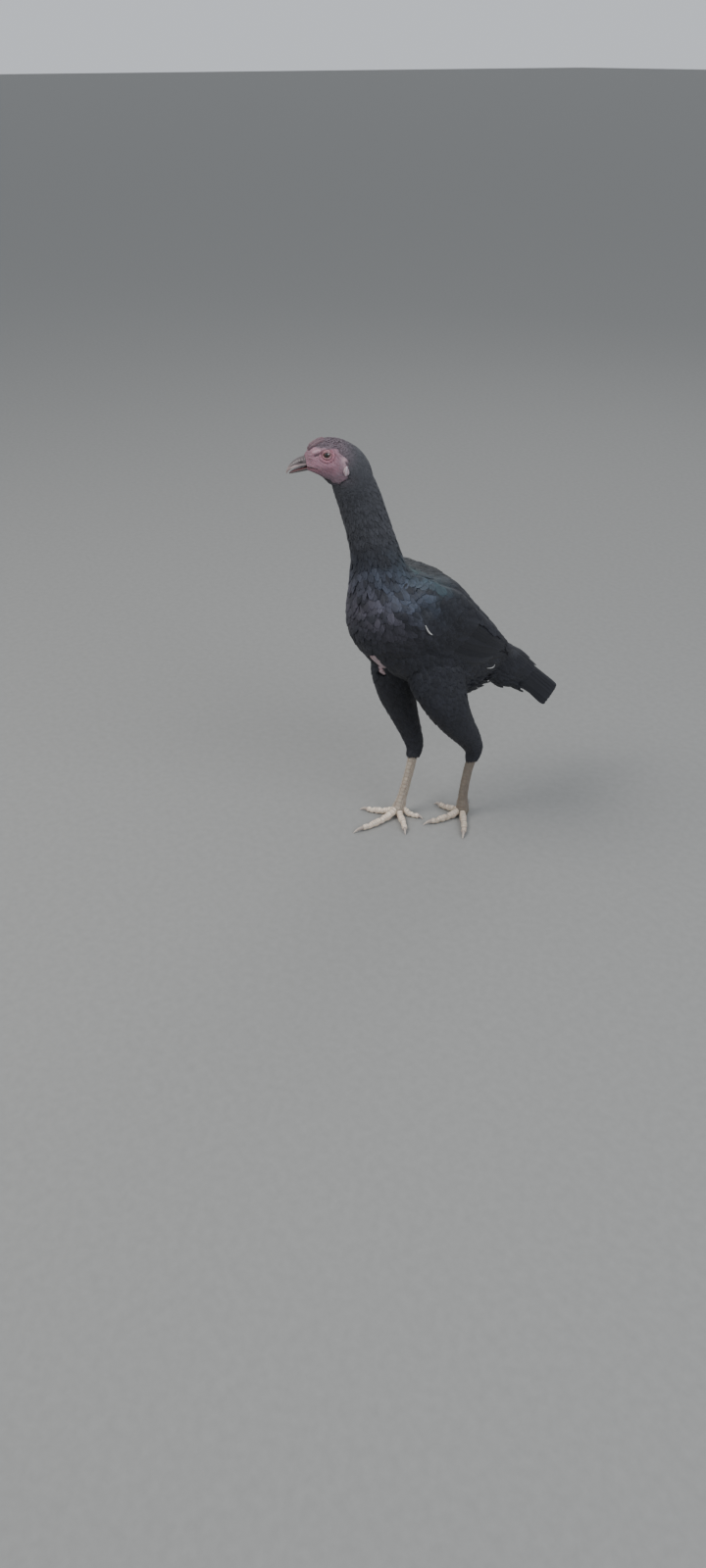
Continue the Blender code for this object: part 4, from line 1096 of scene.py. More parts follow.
def feather_finish():
    """Black vane: barbs slant from the shaft to the edge, a paler thin rim, a gloss that varies by tuft."""
    made = Finish("feather_black", Specular_IOR_Level=0.42)
    uv = made.add("ShaderNodeUVMap", {"uv_map": "Vane"})
    parts = made.add("ShaderNodeSeparateXYZ", {}, {0: uv})
    x = Wire(made, parts.socket.node.outputs[0]) * 2.0 - 1.0
    s = Wire(made, parts.socket.node.outputs[1])
    edge = x * x
    wide = made.add("ShaderNodeMath", {"operation": "ABSOLUTE"}, {0: x})
    luck = made.number("luck")
    lane = s * 26.0 - wide * 9.0 + luck * 5.0
    barb = made.add("ShaderNodeMath", {"operation": "SINE"}, {0: lane * 6.283}) * 0.5 + 0.5
    grain = made.noise(900.0, 2.0)
    shaft = 1.0 - (wide * 9.0).low(1.0)
    rim = (edge ** 3.0) * 0.35 + (s ** 8.0) * 0.25
    shade = (barb * 0.22 + grain * 0.30 + 0.70) * (1.0 - shaft * 0.35) + rim
    made.feed(Base_Color=made.shaded(shade), Roughness=0.40 + luck * 0.16 + grain * 0.14 - shaft * 0.08,
              Normal=made.bump(barb * 0.5 + shaft * 0.9 + grain * 0.3, 0.45, 0.0005))
    return made.material


def skin_finish():
    """Bare skin: its own colours under pores and fine folds."""
    made = Finish("bare_skin", Subsurface_Weight=0.12, Subsurface_Scale=0.004)
    made.feed(Subsurface_Radius=(1.0, 0.35, 0.25), Specular_IOR_Level=0.42)
    pores = made.noise(1500.0, 3.0)
    folds = made.noise(420.0, 3.0, rough=0.6)
    made.feed(Base_Color=made.shaded(pores * 0.30 + folds * 0.45 + 0.62), Roughness=0.42 + folds * 0.25,
              Normal=made.bump(pores * 0.4 + folds, 0.5, 0.0006))
    return made.material


def horn_finish(name, streak, rough):
    """Horn: its own colours under streaks and a fine grain."""
    made = Finish(name, Specular_IOR_Level=0.5)
    grain = made.noise(streak, 4.0)
    fine = made.noise(2600.0, 2.0)
    made.feed(Base_Color=made.shaded(grain * 0.5 + fine * 0.2 + 0.65), Roughness=grain * 0.2 + rough,
              Normal=made.bump(grain * 0.5 + fine, 0.3, 0.0003))
    return made.material


def scale_finish():
    """Scaled skin: paler on the plates, darker brown in the grooves that the hollow attribute marks."""
    made = Finish("scaled_skin", Specular_IOR_Level=0.4, Subsurface_Weight=0.06, Subsurface_Scale=0.003)
    hollow = made.number("hollow")
    dust = made.noise(260.0, 4.0, rough=0.6)
    fine = made.noise(1800.0, 3.0)
    base = made.shaded(fine * 0.25 + dust * 0.35 + 0.72)
    groove_dark = (hollow * 0.75 + dust * 0.30 - 0.08).high(0.0)
    made.feed(Base_Color=made.blend(groove_dark, base, (0.16, 0.125, 0.10, 1.0)), Roughness=dust * 0.25 + 0.40,
              Normal=made.bump(fine + dust * 0.5, 0.35, 0.0004))
    return made.material


def eye_finish():
    """Eye by the angle from its axis: black pupil, dark reddish-brown iris with rays, dark rim, grey white."""
    made = Finish("wet_eye", Roughness=0.06, Specular_IOR_Level=0.6, Coat_Roughness=0.02, Coat_IOR=1.4)
    gaze = made.number("gaze")
    rays = made.noise(1900.0, 2.0)
    stops = [(0.0, (0.08, 0.06, 0.06)), (0.42, (0.04, 0.022, 0.020)), (0.52, (0.020, 0.008, 0.005)),
             (0.64, (0.085, 0.028, 0.012)), (0.74, (0.050, 0.016, 0.007)), (0.78, (0.004, 0.004, 0.005)),
             (1.0, (0.003, 0.003, 0.004))]
    ring = made.add("ShaderNodeValToRGB", {"stops": stops}, {0: gaze + rays * 0.03 - 0.015}, "Color")
    made.feed(Base_Color=ring, Coat_Weight=1.0)
    return made.material


FEATHER = feather_finish()
SKIN = skin_finish()
HORN = horn_finish("beak_horn", 700.0, 0.28)
CLAW = horn_finish("claw_horn", 500.0, 0.34)
SCALES = scale_finish()
EYE = eye_finish()


# Skin


def body_skin():
    """Rings of the body at the skin's depth, raised by the face's relief, with the thighs' rings beside."""
    stations = np.concatenate([np.linspace(0.0, 10.8, 90)[:-1], np.linspace(10.8, BODY_END, 190)])
    t, a = grid(stations, circle(200))
    outside = body.at(t, a)
    bare = np.maximum(bare_face(outside), 0.75 * keel_patch(outside))
    start = body.at(t, a, -depth_at(t) * (1.0 - bare))
    rings = start + body.normal(t, a) * face_relief(start)[..., None]
    points, faces = tube(rings)
    u = tube_map(a / TURN, t / BODY_END) * 0.6
    for side in SIDES:
        surface = thigh_surface(side)
        t, a = grid(np.linspace(0.0, CUFF_END[side] - 0.05, 110), circle(80))
        depth = np.interp(t, *THIGH_DEPTH)
        leg_points, leg_faces = tube(surface.at(t, a, -depth * (1.0 - 0.75 * keel_patch(surface.at(t, a)))))
        faces += [group + len(points) for group in leg_faces]
        points = np.vstack([points, leg_points])
        corner = np.array([0.65, 0.0 if side == "left" else 0.5])
        u = np.vstack([u, tube_map(a / TURN, t / 7.0) * (0.3, 0.4) + corner])
    skin = make_piece("skin", points, faces, SKIN, skin_colour_with_painted_light(points), [("Unwrap", u)])
    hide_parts("torso", "neck", "head", "thigh_left", "thigh_right")


def body_unwrap(t, a):
    """Place on the bake map of a root on the body."""
    return np.mod(a / TURN, 1.0) * 0.98 + 0.01, t / BODY_END * 0.98 + 0.01


# Coat of the body


def under_wing(t, a):
    """True well under a folded wing, where nothing shows."""
    turn = np.abs(from_belly(a))
    low, high = wing_angles(t)
    return (t > 2.2) & (t < 6.6) & (turn > low + 0.22) & (turn < high - 0.22)


def body_coat():
    """Feathers of the body by station: small on the head, long and narrow on the neck, broad on the breast."""
    knots = (0.0, 2.0, 4.0, 6.0, 7.0, 8.0, 9.5, 11.0, 12.5, 14.0, 16.0)
    lengths = (0.026, 0.024, 0.021, 0.021, 0.024, 0.025, 0.018, 0.010, 0.0048, 0.0034, 0.0026)
    widths = (0.009, 0.010, 0.0105, 0.0100, 0.0080, 0.0062, 0.0046, 0.0032, 0.0020, 0.0015, 0.0012)
    rows = (0.0062, 0.0058, 0.0056, 0.0052, 0.0050, 0.0046, 0.0034, 0.0022, 0.00125, 0.0010, 0.0009)
    gaps = (0.0050, 0.0056, 0.0060, 0.0056, 0.0046, 0.0036, 0.0027, 0.0019, 0.00125, 0.0010, 0.0009)
    bands = (("coat_rear", 0.35, 4.4, 5, 31), ("coat_breast", 4.4, 7.4, 5, 32), ("coat_neck", 7.4, 11.2, 3, 33),
             ("coat_head", 11.2, 17.6, 3, 34))
    for name, start, stop, across, seed in bands:
        t, a = scatter(body, start, stop, graded(knots, rows), graded(knots, gaps), seed)
        keep = ~under_wing(t, a)
        p = body.at(t, a)
        rng = np.random.default_rng(seed)
        keep &= np.maximum(bare_face(p), keel_patch(p)) < rng.uniform(0.05, 0.55, len(t))
        ahead, _, up = folded(p).T
        crown = smooth_step((ahead - 0.012) / 0.02) * smooth_step((up - 0.04) / 0.01)
        keep &= (ahead < 0.0575) & (rng.random(len(t)) > 0.55 * crown)
        t, a, p = t[keep], a[keep], p[keep]
        rng = np.random.default_rng(seed + 1)
        many = len(t)
        long = varied(rng, t, knots, lengths, 0.82, 1.15)
        pace = body.pace(t, a)[0]
        ahead = body.pace(np.maximum(t - long / pace, 0.1), a)[0]
        long = long * np.clip(2.0 * pace / (pace + ahead), 0.15, 1.15)
        long = cut_at_keel(body, -1.0, t, a, long)
        wide = varied(rng, t, knots, widths, 0.85, 1.12)
        depth = depth_at(t)
        below = np.cos(a)
        belly = smooth_step((below - 0.45) / 0.4) * smooth_step((3.2 - t) / 1.2)
        loose = rng.normal(0.0, 0.10, many) * (1.0 + 2.0 * belly)
        tip = rng.uniform(-0.0006, 0.0009, many) * np.clip(long / 0.02, 0.15, 1.0)
        vent = smooth_step((below - 0.55) / 0.3) * smooth_step((4.2 - t) / 1.0) * smooth_step((t - 1.3) / 0.6)
        tip = tip + 0.002 * belly * rng.random(many) + vent * (0.003 + 0.007 * rng.random(many))
        outline = HACKLE if name == "coat_neck" else SOFT
        tufts = vanes(body, -1.0, t, a, long, wide, -0.80 * depth, tip, outline, loose, across,
                      BROAD if across == 5 else THIN, 0.16, None, seed)
        coat(name, [(tufts, body_unwrap)], seed=seed)


def shoulder_cover(t, a):
    """Height over the bare body that clears the wing's upper edge and the mantle beside it."""
    share = wing_share(t, a)
    wing_height = wing_full(t, np.clip(share, 0.0, 1.0)) * edge_fall(share) * smooth_step((1.35 - share) / 0.30)
    return np.maximum(wing_height * smooth_step((7.1 - t) / 1.0), mantle(t, a)) + 0.0008


def lap_cover(t, a):
    """Height over the bare body that clears the wing's lower front edge and sinks to the breast before it."""
    share = wing_share(t, a)
    height = wing_full(t, np.clip(share, 0.0, 1.0)) * edge_fall(share) + covert_rise(t)
    return height * smooth_step((share + 0.42) / 0.36) * front_fall(t) + 0.0004


def lap_feathers():
    """Side feathers of the breast, rooted before and under the wing, that lie over its lower front edge."""
    t, a = scatter(bare_body, 4.2, 7.0, even(0.0054), even(0.0054), 91)
    turn, share = from_belly(a), wing_share(t, a)
    keep = (share > -0.42) & (share < 0.10 - 0.08 * smooth_step((5.2 - t) / 0.8))
    t, a, turn, share = t[keep], a[keep], turn[keep], share[keep]
    rng = np.random.default_rng(92)
    many = len(t)
    lean = np.sign(turn) * 0.14 * smooth_step((share + 0.4) / 0.3) + rng.normal(0, 0.07, many)
    long = varied(rng, t, (4.2, 5.5, 7.0), (0.019, 0.021, 0.018), 0.85, 1.15)
    wide = varied(rng, t, (4.2, 5.5, 7.0), (0.0095, 0.0100, 0.0082), 0.88, 1.12)
    tip = rng.uniform(0.0004, 0.0014, many)
    return soft_vanes(bare_body, t, a, long, wide, -0.0034, tip, lean, lap_cover, 93)


def shoulder_coat():
    """Long soft feathers rooted beside the spine that lie over the upper edges of both wings, and those of the
    breast's sides."""
    t, a = scatter(bare_body, 1.9, 6.7, even(0.0062), even(0.0060), 35)
    turn = np.mod(a, TURN) - math.pi
    past = math.pi - np.abs(turn) - wing_angles(t)[1]
    keep = (past > -0.14) & (past < 0.34)
    t, a, turn, past = t[keep], a[keep], turn[keep], past[keep]
    rng = np.random.default_rng(36)
    many = len(t)
    lean = np.sign(turn) * 0.24 * smooth_step((0.40 - past) / 0.3) + rng.normal(0, 0.06, many)
    long = varied(rng, t, (1.9, 4.0, 6.7), (0.030, 0.034, 0.022), 0.85, 1.15)
    wide = varied(rng, t, (1.9, 4.0, 6.7), (0.0100, 0.0115, 0.0090), 0.88, 1.12)
    tip = rng.uniform(0.0006, 0.0018, many)
    tufts = soft_vanes(bare_body, t, a, long, wide, -0.0030, tip, lean, shoulder_cover, 37)
    coat("coat_shoulder", [(tufts, body_unwrap), (lap_feathers(), body_unwrap)], seed=38)


def flank_feathers(side):
    """Feathers of the flank, rooted before and above a thigh, that lie over its rounded top."""
    sign = SIDES[side]

    def cover(t, a):
        gap = thigh_gap(side, body.at(t, a))
        return 0.0010 + np.clip(-1.15 * gap, 0.0, 0.016) + 0.0012 * smooth_step((0.006 - gap) / 0.006)

    t, a = scatter(body, 3.0, 6.6, even(0.0054), even(0.0054), 94)
    p = body.at(t, a)
    gap = thigh_gap(side, p)
    high = (p - STEP)[:, 2] - np.interp(gap, (-0.004, 0.020), (0.318, 0.308))
    keep = (gap > -0.004) & (gap < 0.018) & (high > 0) & (sign * p[:, 0] > 0.020)
    t, a = t[keep], a[keep]
    rng = np.random.default_rng(95)
    many = len(t)
    long, wide = 0.021 * rng.uniform(0.85, 1.15, many), 0.0100 * rng.uniform(0.88, 1.12, many)
    tip, lean = rng.uniform(0.0002, 0.0012, many), rng.normal(0, 0.08, many) - sign * 0.40
    return soft_vanes(body, t, a, long, wide, -0.0034, tip, lean, cover, 96)


def thigh_coat(side):
    """Feathers of a thigh, which shorten down to the cuff over the shank."""
    surface = thigh_surface(side)
    cuff = CUFF_END[side]
    knots = (0.0, 2.0, 4.0, 5.5, 7.0)
    t, a = scatter(surface, 0.2, cuff - 0.3, graded(knots, (0.0052, 0.0046, 0.0034, 0.0024, 0.0018)),
                   graded(knots, (0.0046, 0.0040, 0.0030, 0.0021, 0.0016)), 41)
    rng = np.random.default_rng(42)
    keep = keel_patch(surface.at(t, a)) < rng.uniform(0.1, 0.7, len(t))
    t, a = t[keep], a[keep]
    many = len(t)
    long = varied(rng, t, knots, (0.020, 0.018, 0.013, 0.0085, 0.0050), 0.8, 1.15)
    long = np.minimum(long, np.maximum((cuff + 0.35 * rng.random(many) ** 2 - t) * 0.014, 0.003))
    long = cut_at_keel(surface, 1.0, t, a, long)
    wide = varied(rng, t, knots, (0.0085, 0.0075, 0.0052, 0.0036, 0.0024), 0.85, 1.1)
    depth = np.interp(t, *THIGH_DEPTH)
    tip = rng.uniform(-0.0004, 0.0008, many)
    tufts = vanes(surface, 1.0, t, a, long, wide, -0.8 * depth, tip, SOFT, rng.normal(0, 0.12, many), 3, THIN,
                  0.14, None, 43)
    shift = 0.0 if side == "left" else 0.5

    def unwrap(t, a):
        return np.mod(a / TURN, 1.0) * 0.98 + 0.01, t / 7.2 * 0.47 + 0.01 + shift

    coat("coat_thigh_" + side, [(tufts, unwrap)], seed=44)


# Wings


def wing_core(side, surface):
    """Closed pad under the wing's feathers: the hull less a margin above, the body's side below."""
    t, v = grid(np.linspace(6.75, 2.6, 60), np.linspace(0.03, 0.97, 28))
    over = surface.at(t, v, wing_hull(t, v) - 0.0030)
    under = surface.at(t, v, np.full(t.shape, -0.0085))
    rings = np.concatenate([over, under[:, ::-1]], axis=1)
    points, faces = tube(rings)
    # The pad has the plumage colours at half strength: painted shade where it shows between the quills
    core = make_piece("wing_pad_" + side, points, faces, SKIN, markings_with_painted_light(points) * 0.5,
                      [("Unwrap", even_map(rings))])
    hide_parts("wing_" + side)


def wing_row(surface, root, tip, late, count, tier, wide, across, thick, seed, first=0.0):
    """One tier: quills side by side, each over the one below it, from the root's station to the tip's."""
    share = first + (1.0 - first) * (np.arange(count) + 0.5) / count
    rng = np.random.default_rng(seed)
    end = tip + (root - tip) * late * (1.0 - share) * 0.5 + rng.normal(0, 0.02, count)
    start = np.full(count, root) + rng.normal(0, 0.03, count)
    pace_t, pace_v = surface.pace((start + end) / 2, share)
    length = pace_t * (start - end)
    width = pace_v / count * (1.0 - first) * wide
    lift = tier_height(share, tier)
    scale = surface.pace(start, share)[0] / pace_t

    def fall(t, v):
        return lift[:, None, None] * (edge_fall(v) - 1.0)

    return vanes(surface, -1.0, start, share, length * scale, width, lift - 0.0012, lift + 0.0003, QUILL, 0.0,
                 across, thick, 0.05, fall, seed, 0.46)


def wing(side):
    """Folded wing: a pad, four tiers of quills from the tip forward, and small feathers over the shoulder."""
    surface = wing_surface(SIDES[side])
    wing_core(side, surface)
    tiers = [
        wing_row(surface, 4.10, 1.34, 0.00, 8, 0.0, 2.3, 9, 0.0006, 51),
        wing_row(surface, 5.00, 2.25, 0.35, 12, 1.0, 2.2, 9, 0.0006, 52),
        wing_row(surface, 5.70, 3.95, 0.25, 13, 2.0, 2.0, 7, 0.0005, 53),
        wing_row(surface, 6.30, 4.75, 0.20, 14, TOP_TIER, 2.0, 7, 0.0005, 54, 0.04),
    ]
    t, v = scatter(surface, 4.6, 6.95, graded((4.6, 6, 7), (0.0060, 0.0046, 0.0034)),
                   graded((4.6, 6, 7), (0.0060, 0.0048, 0.0036)), 55, turns=0.96, from_angle=0.02)
    rng = np.random.default_rng(56)
    many = len(t)
    long = varied(rng, t, (4.6, 6, 7), (0.019, 0.016, 0.010), 0.85, 1.15)
    wide = varied(rng, t, (4.6, 6, 7), (0.0105, 0.0088, 0.0062), 0.9, 1.1)
    tip, lean = rng.uniform(0.0006, 0.0016, many), rng.normal(0, 0.08, many)
    small = soft_vanes(surface, t, v, long, wide, -0.0030, tip, lean, covert_hull, 57)

    def unwrap(t, v):
        return np.clip(v, 0, 1) * 0.96 + 0.02, (t - 1.0) / 6.2 * 0.96 + 0.02

    coat("flights_" + side, [(tier, unwrap) for tier in tiers], seed=58, shade=0.9, flow=True)
    coat("coverts_" + side, [(small, unwrap)], seed=59)


def bare_quills():
    """Two stripped quills: tapered round rods along a bent line just over the coat."""
    surface = wing_surface(1.0)
    share = np.linspace(0.0, 1.0, 24)
    wing_line = surface.at(5.60 - 0.40 * share, 0.170 - 0.015 * np.sin(share * 2.6),
                           covert_hull(5.60 - 0.40 * share, 0.17) + 0.0026 + 0.0010 * np.sin(math.pi * share))
    rump_line = body.at(2.32 - 0.34 * share, 1.22 + 0.10 * share, 0.0010 + 0.0030 * np.sin(math.pi * share))
    points, groups, tones = [], [[], []], []
    for line, radius in ((wing_line, 0.0011), (rump_line, 0.0007)):
        run = unit(np.gradient(line, axis=0))
        side_way = unit(np.cross(run, [0.3, 0.1, 1.0]))
        other = np.cross(run, side_way)
        a = circle(12)
        size = (radius * (0.35 + 0.65 * np.sin(math.pi * (share * 0.8 + 0.12))))[:, None, None]
        rings = line[:, None, :] + size * (side_way[:, None, :] * np.cos(a)[:, None] +
                                           other[:, None, :] * np.sin(a)[:, None])
        made, faces = tube(rings)
        for group, own in zip(groups, faces):
            group.append(own + sum(len(p) for p in points))
        points.append(made)
        tone = np.repeat(0.85 + 0.25 * share, 12)
        tones.append(np.concatenate([tone, [0.85, 1.1]])[:, None] * np.array([0.56, 0.55, 0.53]))
    points = np.concatenate(points)
    make_piece("bare_quills", points, [np.concatenate(group) for group in groups], CLAW,
               np.concatenate(tones), [("Unwrap", points[:, 1:] * 2.0)])


# Tail


# Tiers of one side of the tail: feathers, root and tip station, tier, width in spacings, outline, first share
# and seed
TAIL_TIERS = (
    (8, 1.2, 5.97, 0.0, 2.1, SQUARE, 0, 61),
    (9, 0.9, 3.7, 1.0, 2.0, QUILL, 0.2, 62),
    (10, 0.5, 2.7, 1.6, 2.0, QUILL, 0.15, 63),
)


def tail():
    """Feathers of both sides over a closed core; each rises from the rump to its tier's height at the tip."""
    t, a = grid(np.linspace(0.0, 3.3, 40), circle(72))
    depth = -0.0030 + 0.0045 * smooth_step(t - 0.4) - 0.0052 * smooth_step((t - 1.8) / 1.5)
    points, faces = tube(tail_surface(1.0).at(t, a, depth))
    # The core has the plumage colours at six tenths: painted shade where it shows between the feathers
    core = make_piece("tail_core", points, faces, SKIN, markings_with_painted_light(points) * 0.6,
                      [("Unwrap", tube_map(a / 6.3, t / 3.4))])
    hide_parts("tail")
    sets = []
    for number, sign in enumerate(SIDES.values()):
        surface = tail_surface(sign)

        def unwrap(t, a, shift=0.5 * number):
            return a / math.pi * 0.46 + 0.02 + shift, np.clip(t, 0, 6) / 6.0 * 0.96 + 0.02

        low, high = math.radians(42.0), math.radians(174.0)
        for count, root, tip, tier, wide, outline, first, seed in TAIL_TIERS:
            share = first + (1 - first) * (np.arange(count) + 0.5) / count
            a = low + (high - low) * share
            start = np.full(count, root)
            luck = np.random.default_rng(seed).normal(0, 0.10, count)
            end = tip - (0.30 * share if tier == 0 else 0.6 * (1 - share) - luck)
            pace_t, pace_a = surface.pace(start, a)
            length = pace_t * (end - start)
            width = pace_a * (high - low) * (1 - first) / count * wide
            lift = 0.0008 + 0.0011 * (share * 5 - 0.5) + 0.0024 * tier
            sets.append((vanes(surface, 1.0, start, a, length, width, 0.4 * lift - 0.0016, lift, outline,
                               across=9, thick=0.0006, cup=0.02, seed=seed), unwrap))
        t, a = scatter(surface, 0.15, 2.2, even(0.0052), even(0.0046), 68, turns=math.radians(178))
        many = len(t)
        rng = np.random.default_rng(69)
        long, wide = rng.uniform(0.024, 0.036, many), rng.uniform(0.006, 0.009, many)
        high = 0.0026 + 0.0046 * smooth_step((2.4 - t) / 2.0) * np.clip(a / 1.2, 0.3, 1.0)
        tip, lean = high + rng.uniform(0, 0.0016, many), rng.normal(0, 0.10, many)
        rear = vanes(surface, 1.0, t, a, long, wide, -0.0030, tip, HACKLE, lean, 5, BROAD, 0.14, None, 70)
        sets.append((rear, unwrap))
        t, a = scatter(surface, 0.6, 3.3, even(0.0040), even(0.0036), 64, turns=math.radians(60))
        rng = np.random.default_rng(65)
        many = len(t)
        long, wide = rng.uniform(0.014, 0.024, many), rng.uniform(0.003, 0.006, many)
        tip, lean = rng.uniform(0.0, 0.006, many), rng.normal(0, 0.30, many)
        loose = vanes(surface, 1.0, t, a, long, wide, -0.003, tip, HACKLE, lean, 3, THIN, 0.1, None, 66)
        sets.append((loose, unwrap))
    coat("tail_feathers", sets, seed=67, shade=0.95)


# Head pieces


def ball_way(frame, polar, turn):
    """Direction at a polar angle from the eye's axis, turned round it from the fore direction."""
    fore, out, upper = frame
    level = fore * np.cos(turn)[..., None] + upper * np.sin(turn)[..., None]
    return out * np.cos(polar)[..., None] + level * np.sin(polar)[..., None]


def eye(side):
    """Ball with a slightly raised cornea; gaze runs from -1 behind to 1 on the axis."""
    centre, *frame = eye_frame(SIDES[side])
    polar, turn = grid(np.linspace(0.02, math.pi - 0.02, 48), circle(64))
    radius = EYE_RADIUS - 0.0001 + 0.00035 * np.exp(-((polar / 0.45) ** 2))
    points, faces = tube(centre + ball_way(frame, polar, turn) * radius[..., None])
    gaze = with_ends(1.0 - polar / math.pi * 2.0)
    piece = make_piece("eyeball_" + side, points, faces, EYE, None, [], [("gaze", gaze)])
    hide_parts("eye_" + side)


def lids(side):
    """Ring over the eye: from inside the ball's edge it rolls over a thick rim and falls outward in two folds.
    A point at turn and share stands at a polar angle from the eye's axis and a radius from its centre."""
    centre, *frame = eye_frame(SIDES[side])
    v, turn = grid(np.linspace(0.0, 1.0, 30), circle(120))
    upper_lid, lower_lid = np.clip(np.sin(turn), 0, 1), np.clip(-np.sin(turn), 0, 1)
    open_polar = np.radians(39.0 - 15.0 * upper_lid ** 1.3 - 8.0 * lower_lid ** 1.5 + 3.0 * np.cos(turn) ** 8)
    polar = open_polar + np.radians(42.0) * v ** 1.15
    rim = 0.00085 * np.exp(-(((v - 0.16) / 0.10) ** 2)) + 0.00060 * np.exp(-(((v - 0.55) / 0.12) ** 2))
    fine = 0.00005 * np.sin(turn * 34.0 + 3.0 * np.sin(turn * 3.0)) * np.sin(math.pi * v)
    rim = rim * (1.0 + 0.25 * np.sin(turn * 2.0 + 0.7) + 0.12 * np.sin(turn * 5.0))
    radius = EYE_RADIUS + 0.00005 + rim + fine + 0.0004 * smooth_step(v / 0.2)
    way = ball_way(frame, polar, turn)
    outer = centre + way * radius[..., None]
    inner = centre + way * (EYE_RADIUS - 0.0009)
    rings = np.concatenate([outer, inner[::-1]])
    rows, columns = rings.shape[:2]
    loop = np.concatenate([rings, rings[:1]])
    faces = grid_faces(rows + 1, columns) % (rows * columns)
    points = rings.reshape(-1, 3)
    tone = np.concatenate([v, v[::-1]])
    pink = np.array([0.33, 0.175, 0.195])
    dark = np.array([0.11, 0.060, 0.075])
    # Painted shade: the dark colour goes in the groove between the two folds and at the lid's edge against the
    # eye
    lid_crease_shade = np.exp(-(((tone - 0.36) / 0.08) ** 2)) * 0.6 + np.exp(-((tone / 0.06) ** 2)) * 0.7
    colours = mix(pink, dark, np.clip(lid_crease_shade, 0, 1))
    edge_a, edge_b = loop[4, 1] - loop[4, 0], loop[5, 0] - loop[4, 0]
    if np.cross(edge_a, edge_b).dot(loop[4, 0] - centre) < 0:
        faces = faces[:, ::-1]
    unwrap = np.stack([turn / 6.3, v], axis=-1)
    make_piece("lids_" + side, points, [faces], SKIN, colours,
               [("Unwrap", np.concatenate([unwrap * 0.5, unwrap[::-1] * 0.5 + 0.5]))])


def beak(name, rows, upper):
    """Half of the beak: rings half width * cos and height * sin(angle), flat on the mouth's side, with growth
    lines, a nostril sunk in the upper half, dark ridge and pale edge."""
    s, a = grid(np.linspace(0, len(rows) - 1, 70), circle(64))
    now = along(rows, s)
    sin, cos = np.sin(a), np.cos(a)
    height = np.where(sin > 0, now[..., 3], -now[..., 4]) * np.abs(sin) ** 0.9
    swell = 1.0 + 0.010 * np.sin(s * 14.0) * (np.abs(sin) > 0.1)
    f, left, u = now[..., 0], now[..., 2] * cos * swell, now[..., 1] + height * swell
    if upper:
        for sign in (1.0, -1.0):
            gap = np.hypot((f - NOSTRIL) / 0.0024, (u - 0.0036) / 0.0010)
            left = left - sign * 0.0012 * np.exp(-gap ** 2) * (left * sign > 0)
            flap = np.exp(-(((f - NOSTRIL) / 0.003) ** 2) - (((u - 0.0054) / 0.0009) ** 2))
            left = left + sign * 0.0005 * flap * (left * sign > 0)
    ahead = f * math.cos(BEAK_PITCH) - u * math.sin(BEAK_PITCH)
    rise = f * math.sin(BEAK_PITCH) + u * math.cos(BEAK_PITCH)
    base = (HEAD[-1][0] + 0.00045, HEAD[-1][1])
    points, faces = tube(head_at(base[0] + ahead, left, base[1] + rise) + STEP)
    ridge = np.array([0.085, 0.068, 0.070])
    pale = np.array([0.60, 0.47, 0.46])
    tip = np.array([0.17, 0.14, 0.135])
    mouth = np.array([0.16, 0.055, 0.060])
    if upper:
        colours = mix(ridge, pale, smooth_step((0.0024 - u) / 0.0022 - smooth_step((f - 0.013) / 0.008)))
        inside = sin < -0.15
        # Painted shade: the sunken nostril is darkened
        dark = np.exp(-np.hypot((f - NOSTRIL) / 0.0022, (u - 0.0034) / 0.0009) ** 2)
        colours = colours * (1.0 - 0.75 * dark[..., None])
    else:
        colours = ridge * 0.95 + smooth_step((sin + 0.35) / 0.5)[..., None] * (pale * 0.32 - ridge)
        inside = sin > 0.15
    colours = mix(colours, tip, smooth_step((f - 0.016) / 0.006) * 0.8)
    colours = np.where(inside[..., None], mouth, colours)
    piece = make_piece(name, points, faces, HORN, with_ends(colours),
                       [("Unwrap", tube_map(a / 6.3, s / len(rows)))])
    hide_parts("beak_upper" if upper else "beak_lower")


def comb():
    """Low pea comb: three rows of knobs as bells over one pad on the crown."""
    t, a = grid(np.linspace(17.0, 14.9, 90), np.radians(np.linspace(142.0, 218.0, 70)))
    share = (t - 17.0) / (14.9 - 17.0)
    swell = np.sin(math.pi * np.clip(share, 0, 1)) ** 0.6
    turn = (np.degrees(a) - 180.0) / (0.45 + 0.55 * swell)
    rim = smooth_step((33.0 - np.abs(turn)) / 9.0) * smooth_step(share / 0.10) * smooth_step((1 - share) / 0.14)
    height = 0.0002 * rim
    for angle, count, size in ((0.0, 6, 0.0034), (18.0, 5, 0.0025), (-18.0, 5, 0.0025)):
        for k in range(count):
            spot = (k + 0.5 + (0.25 if angle else 0.0)) / (count + (0.5 if angle else 0.0))
            grown = size * (0.7 + 0.4 * math.sin(math.pi * spot))
            gap = np.hypot((share - spot) * count * 1.45, (turn - angle) / 8.0)
            height = height + grown * np.exp(-gap ** 2.4) * rim ** 0.5
    base = body.at(t, a)
    height = height + rim * 0.00018 * ripple(base, 0.0016, 71)
    over = body.at(t, a, height - 0.0013)
    under = body.at(t, a, np.full(t.shape, -0.0022))
    rings = np.concatenate([over, under[:, ::-1]], axis=1)
    points, faces = tube(rings)
    red, dusk = np.array([0.140, 0.088, 0.104]), np.array([0.075, 0.055, 0.067])
    colours = mix(dusk, red, np.clip(height / 0.0030, 0, 1))
    colours = np.concatenate([colours, colours[:, ::-1]], axis=1)
    piece = make_piece("pea_comb", points, faces, SKIN, with_ends(colours),
                       [("Unwrap", even_map(rings))])
    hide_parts("comb")


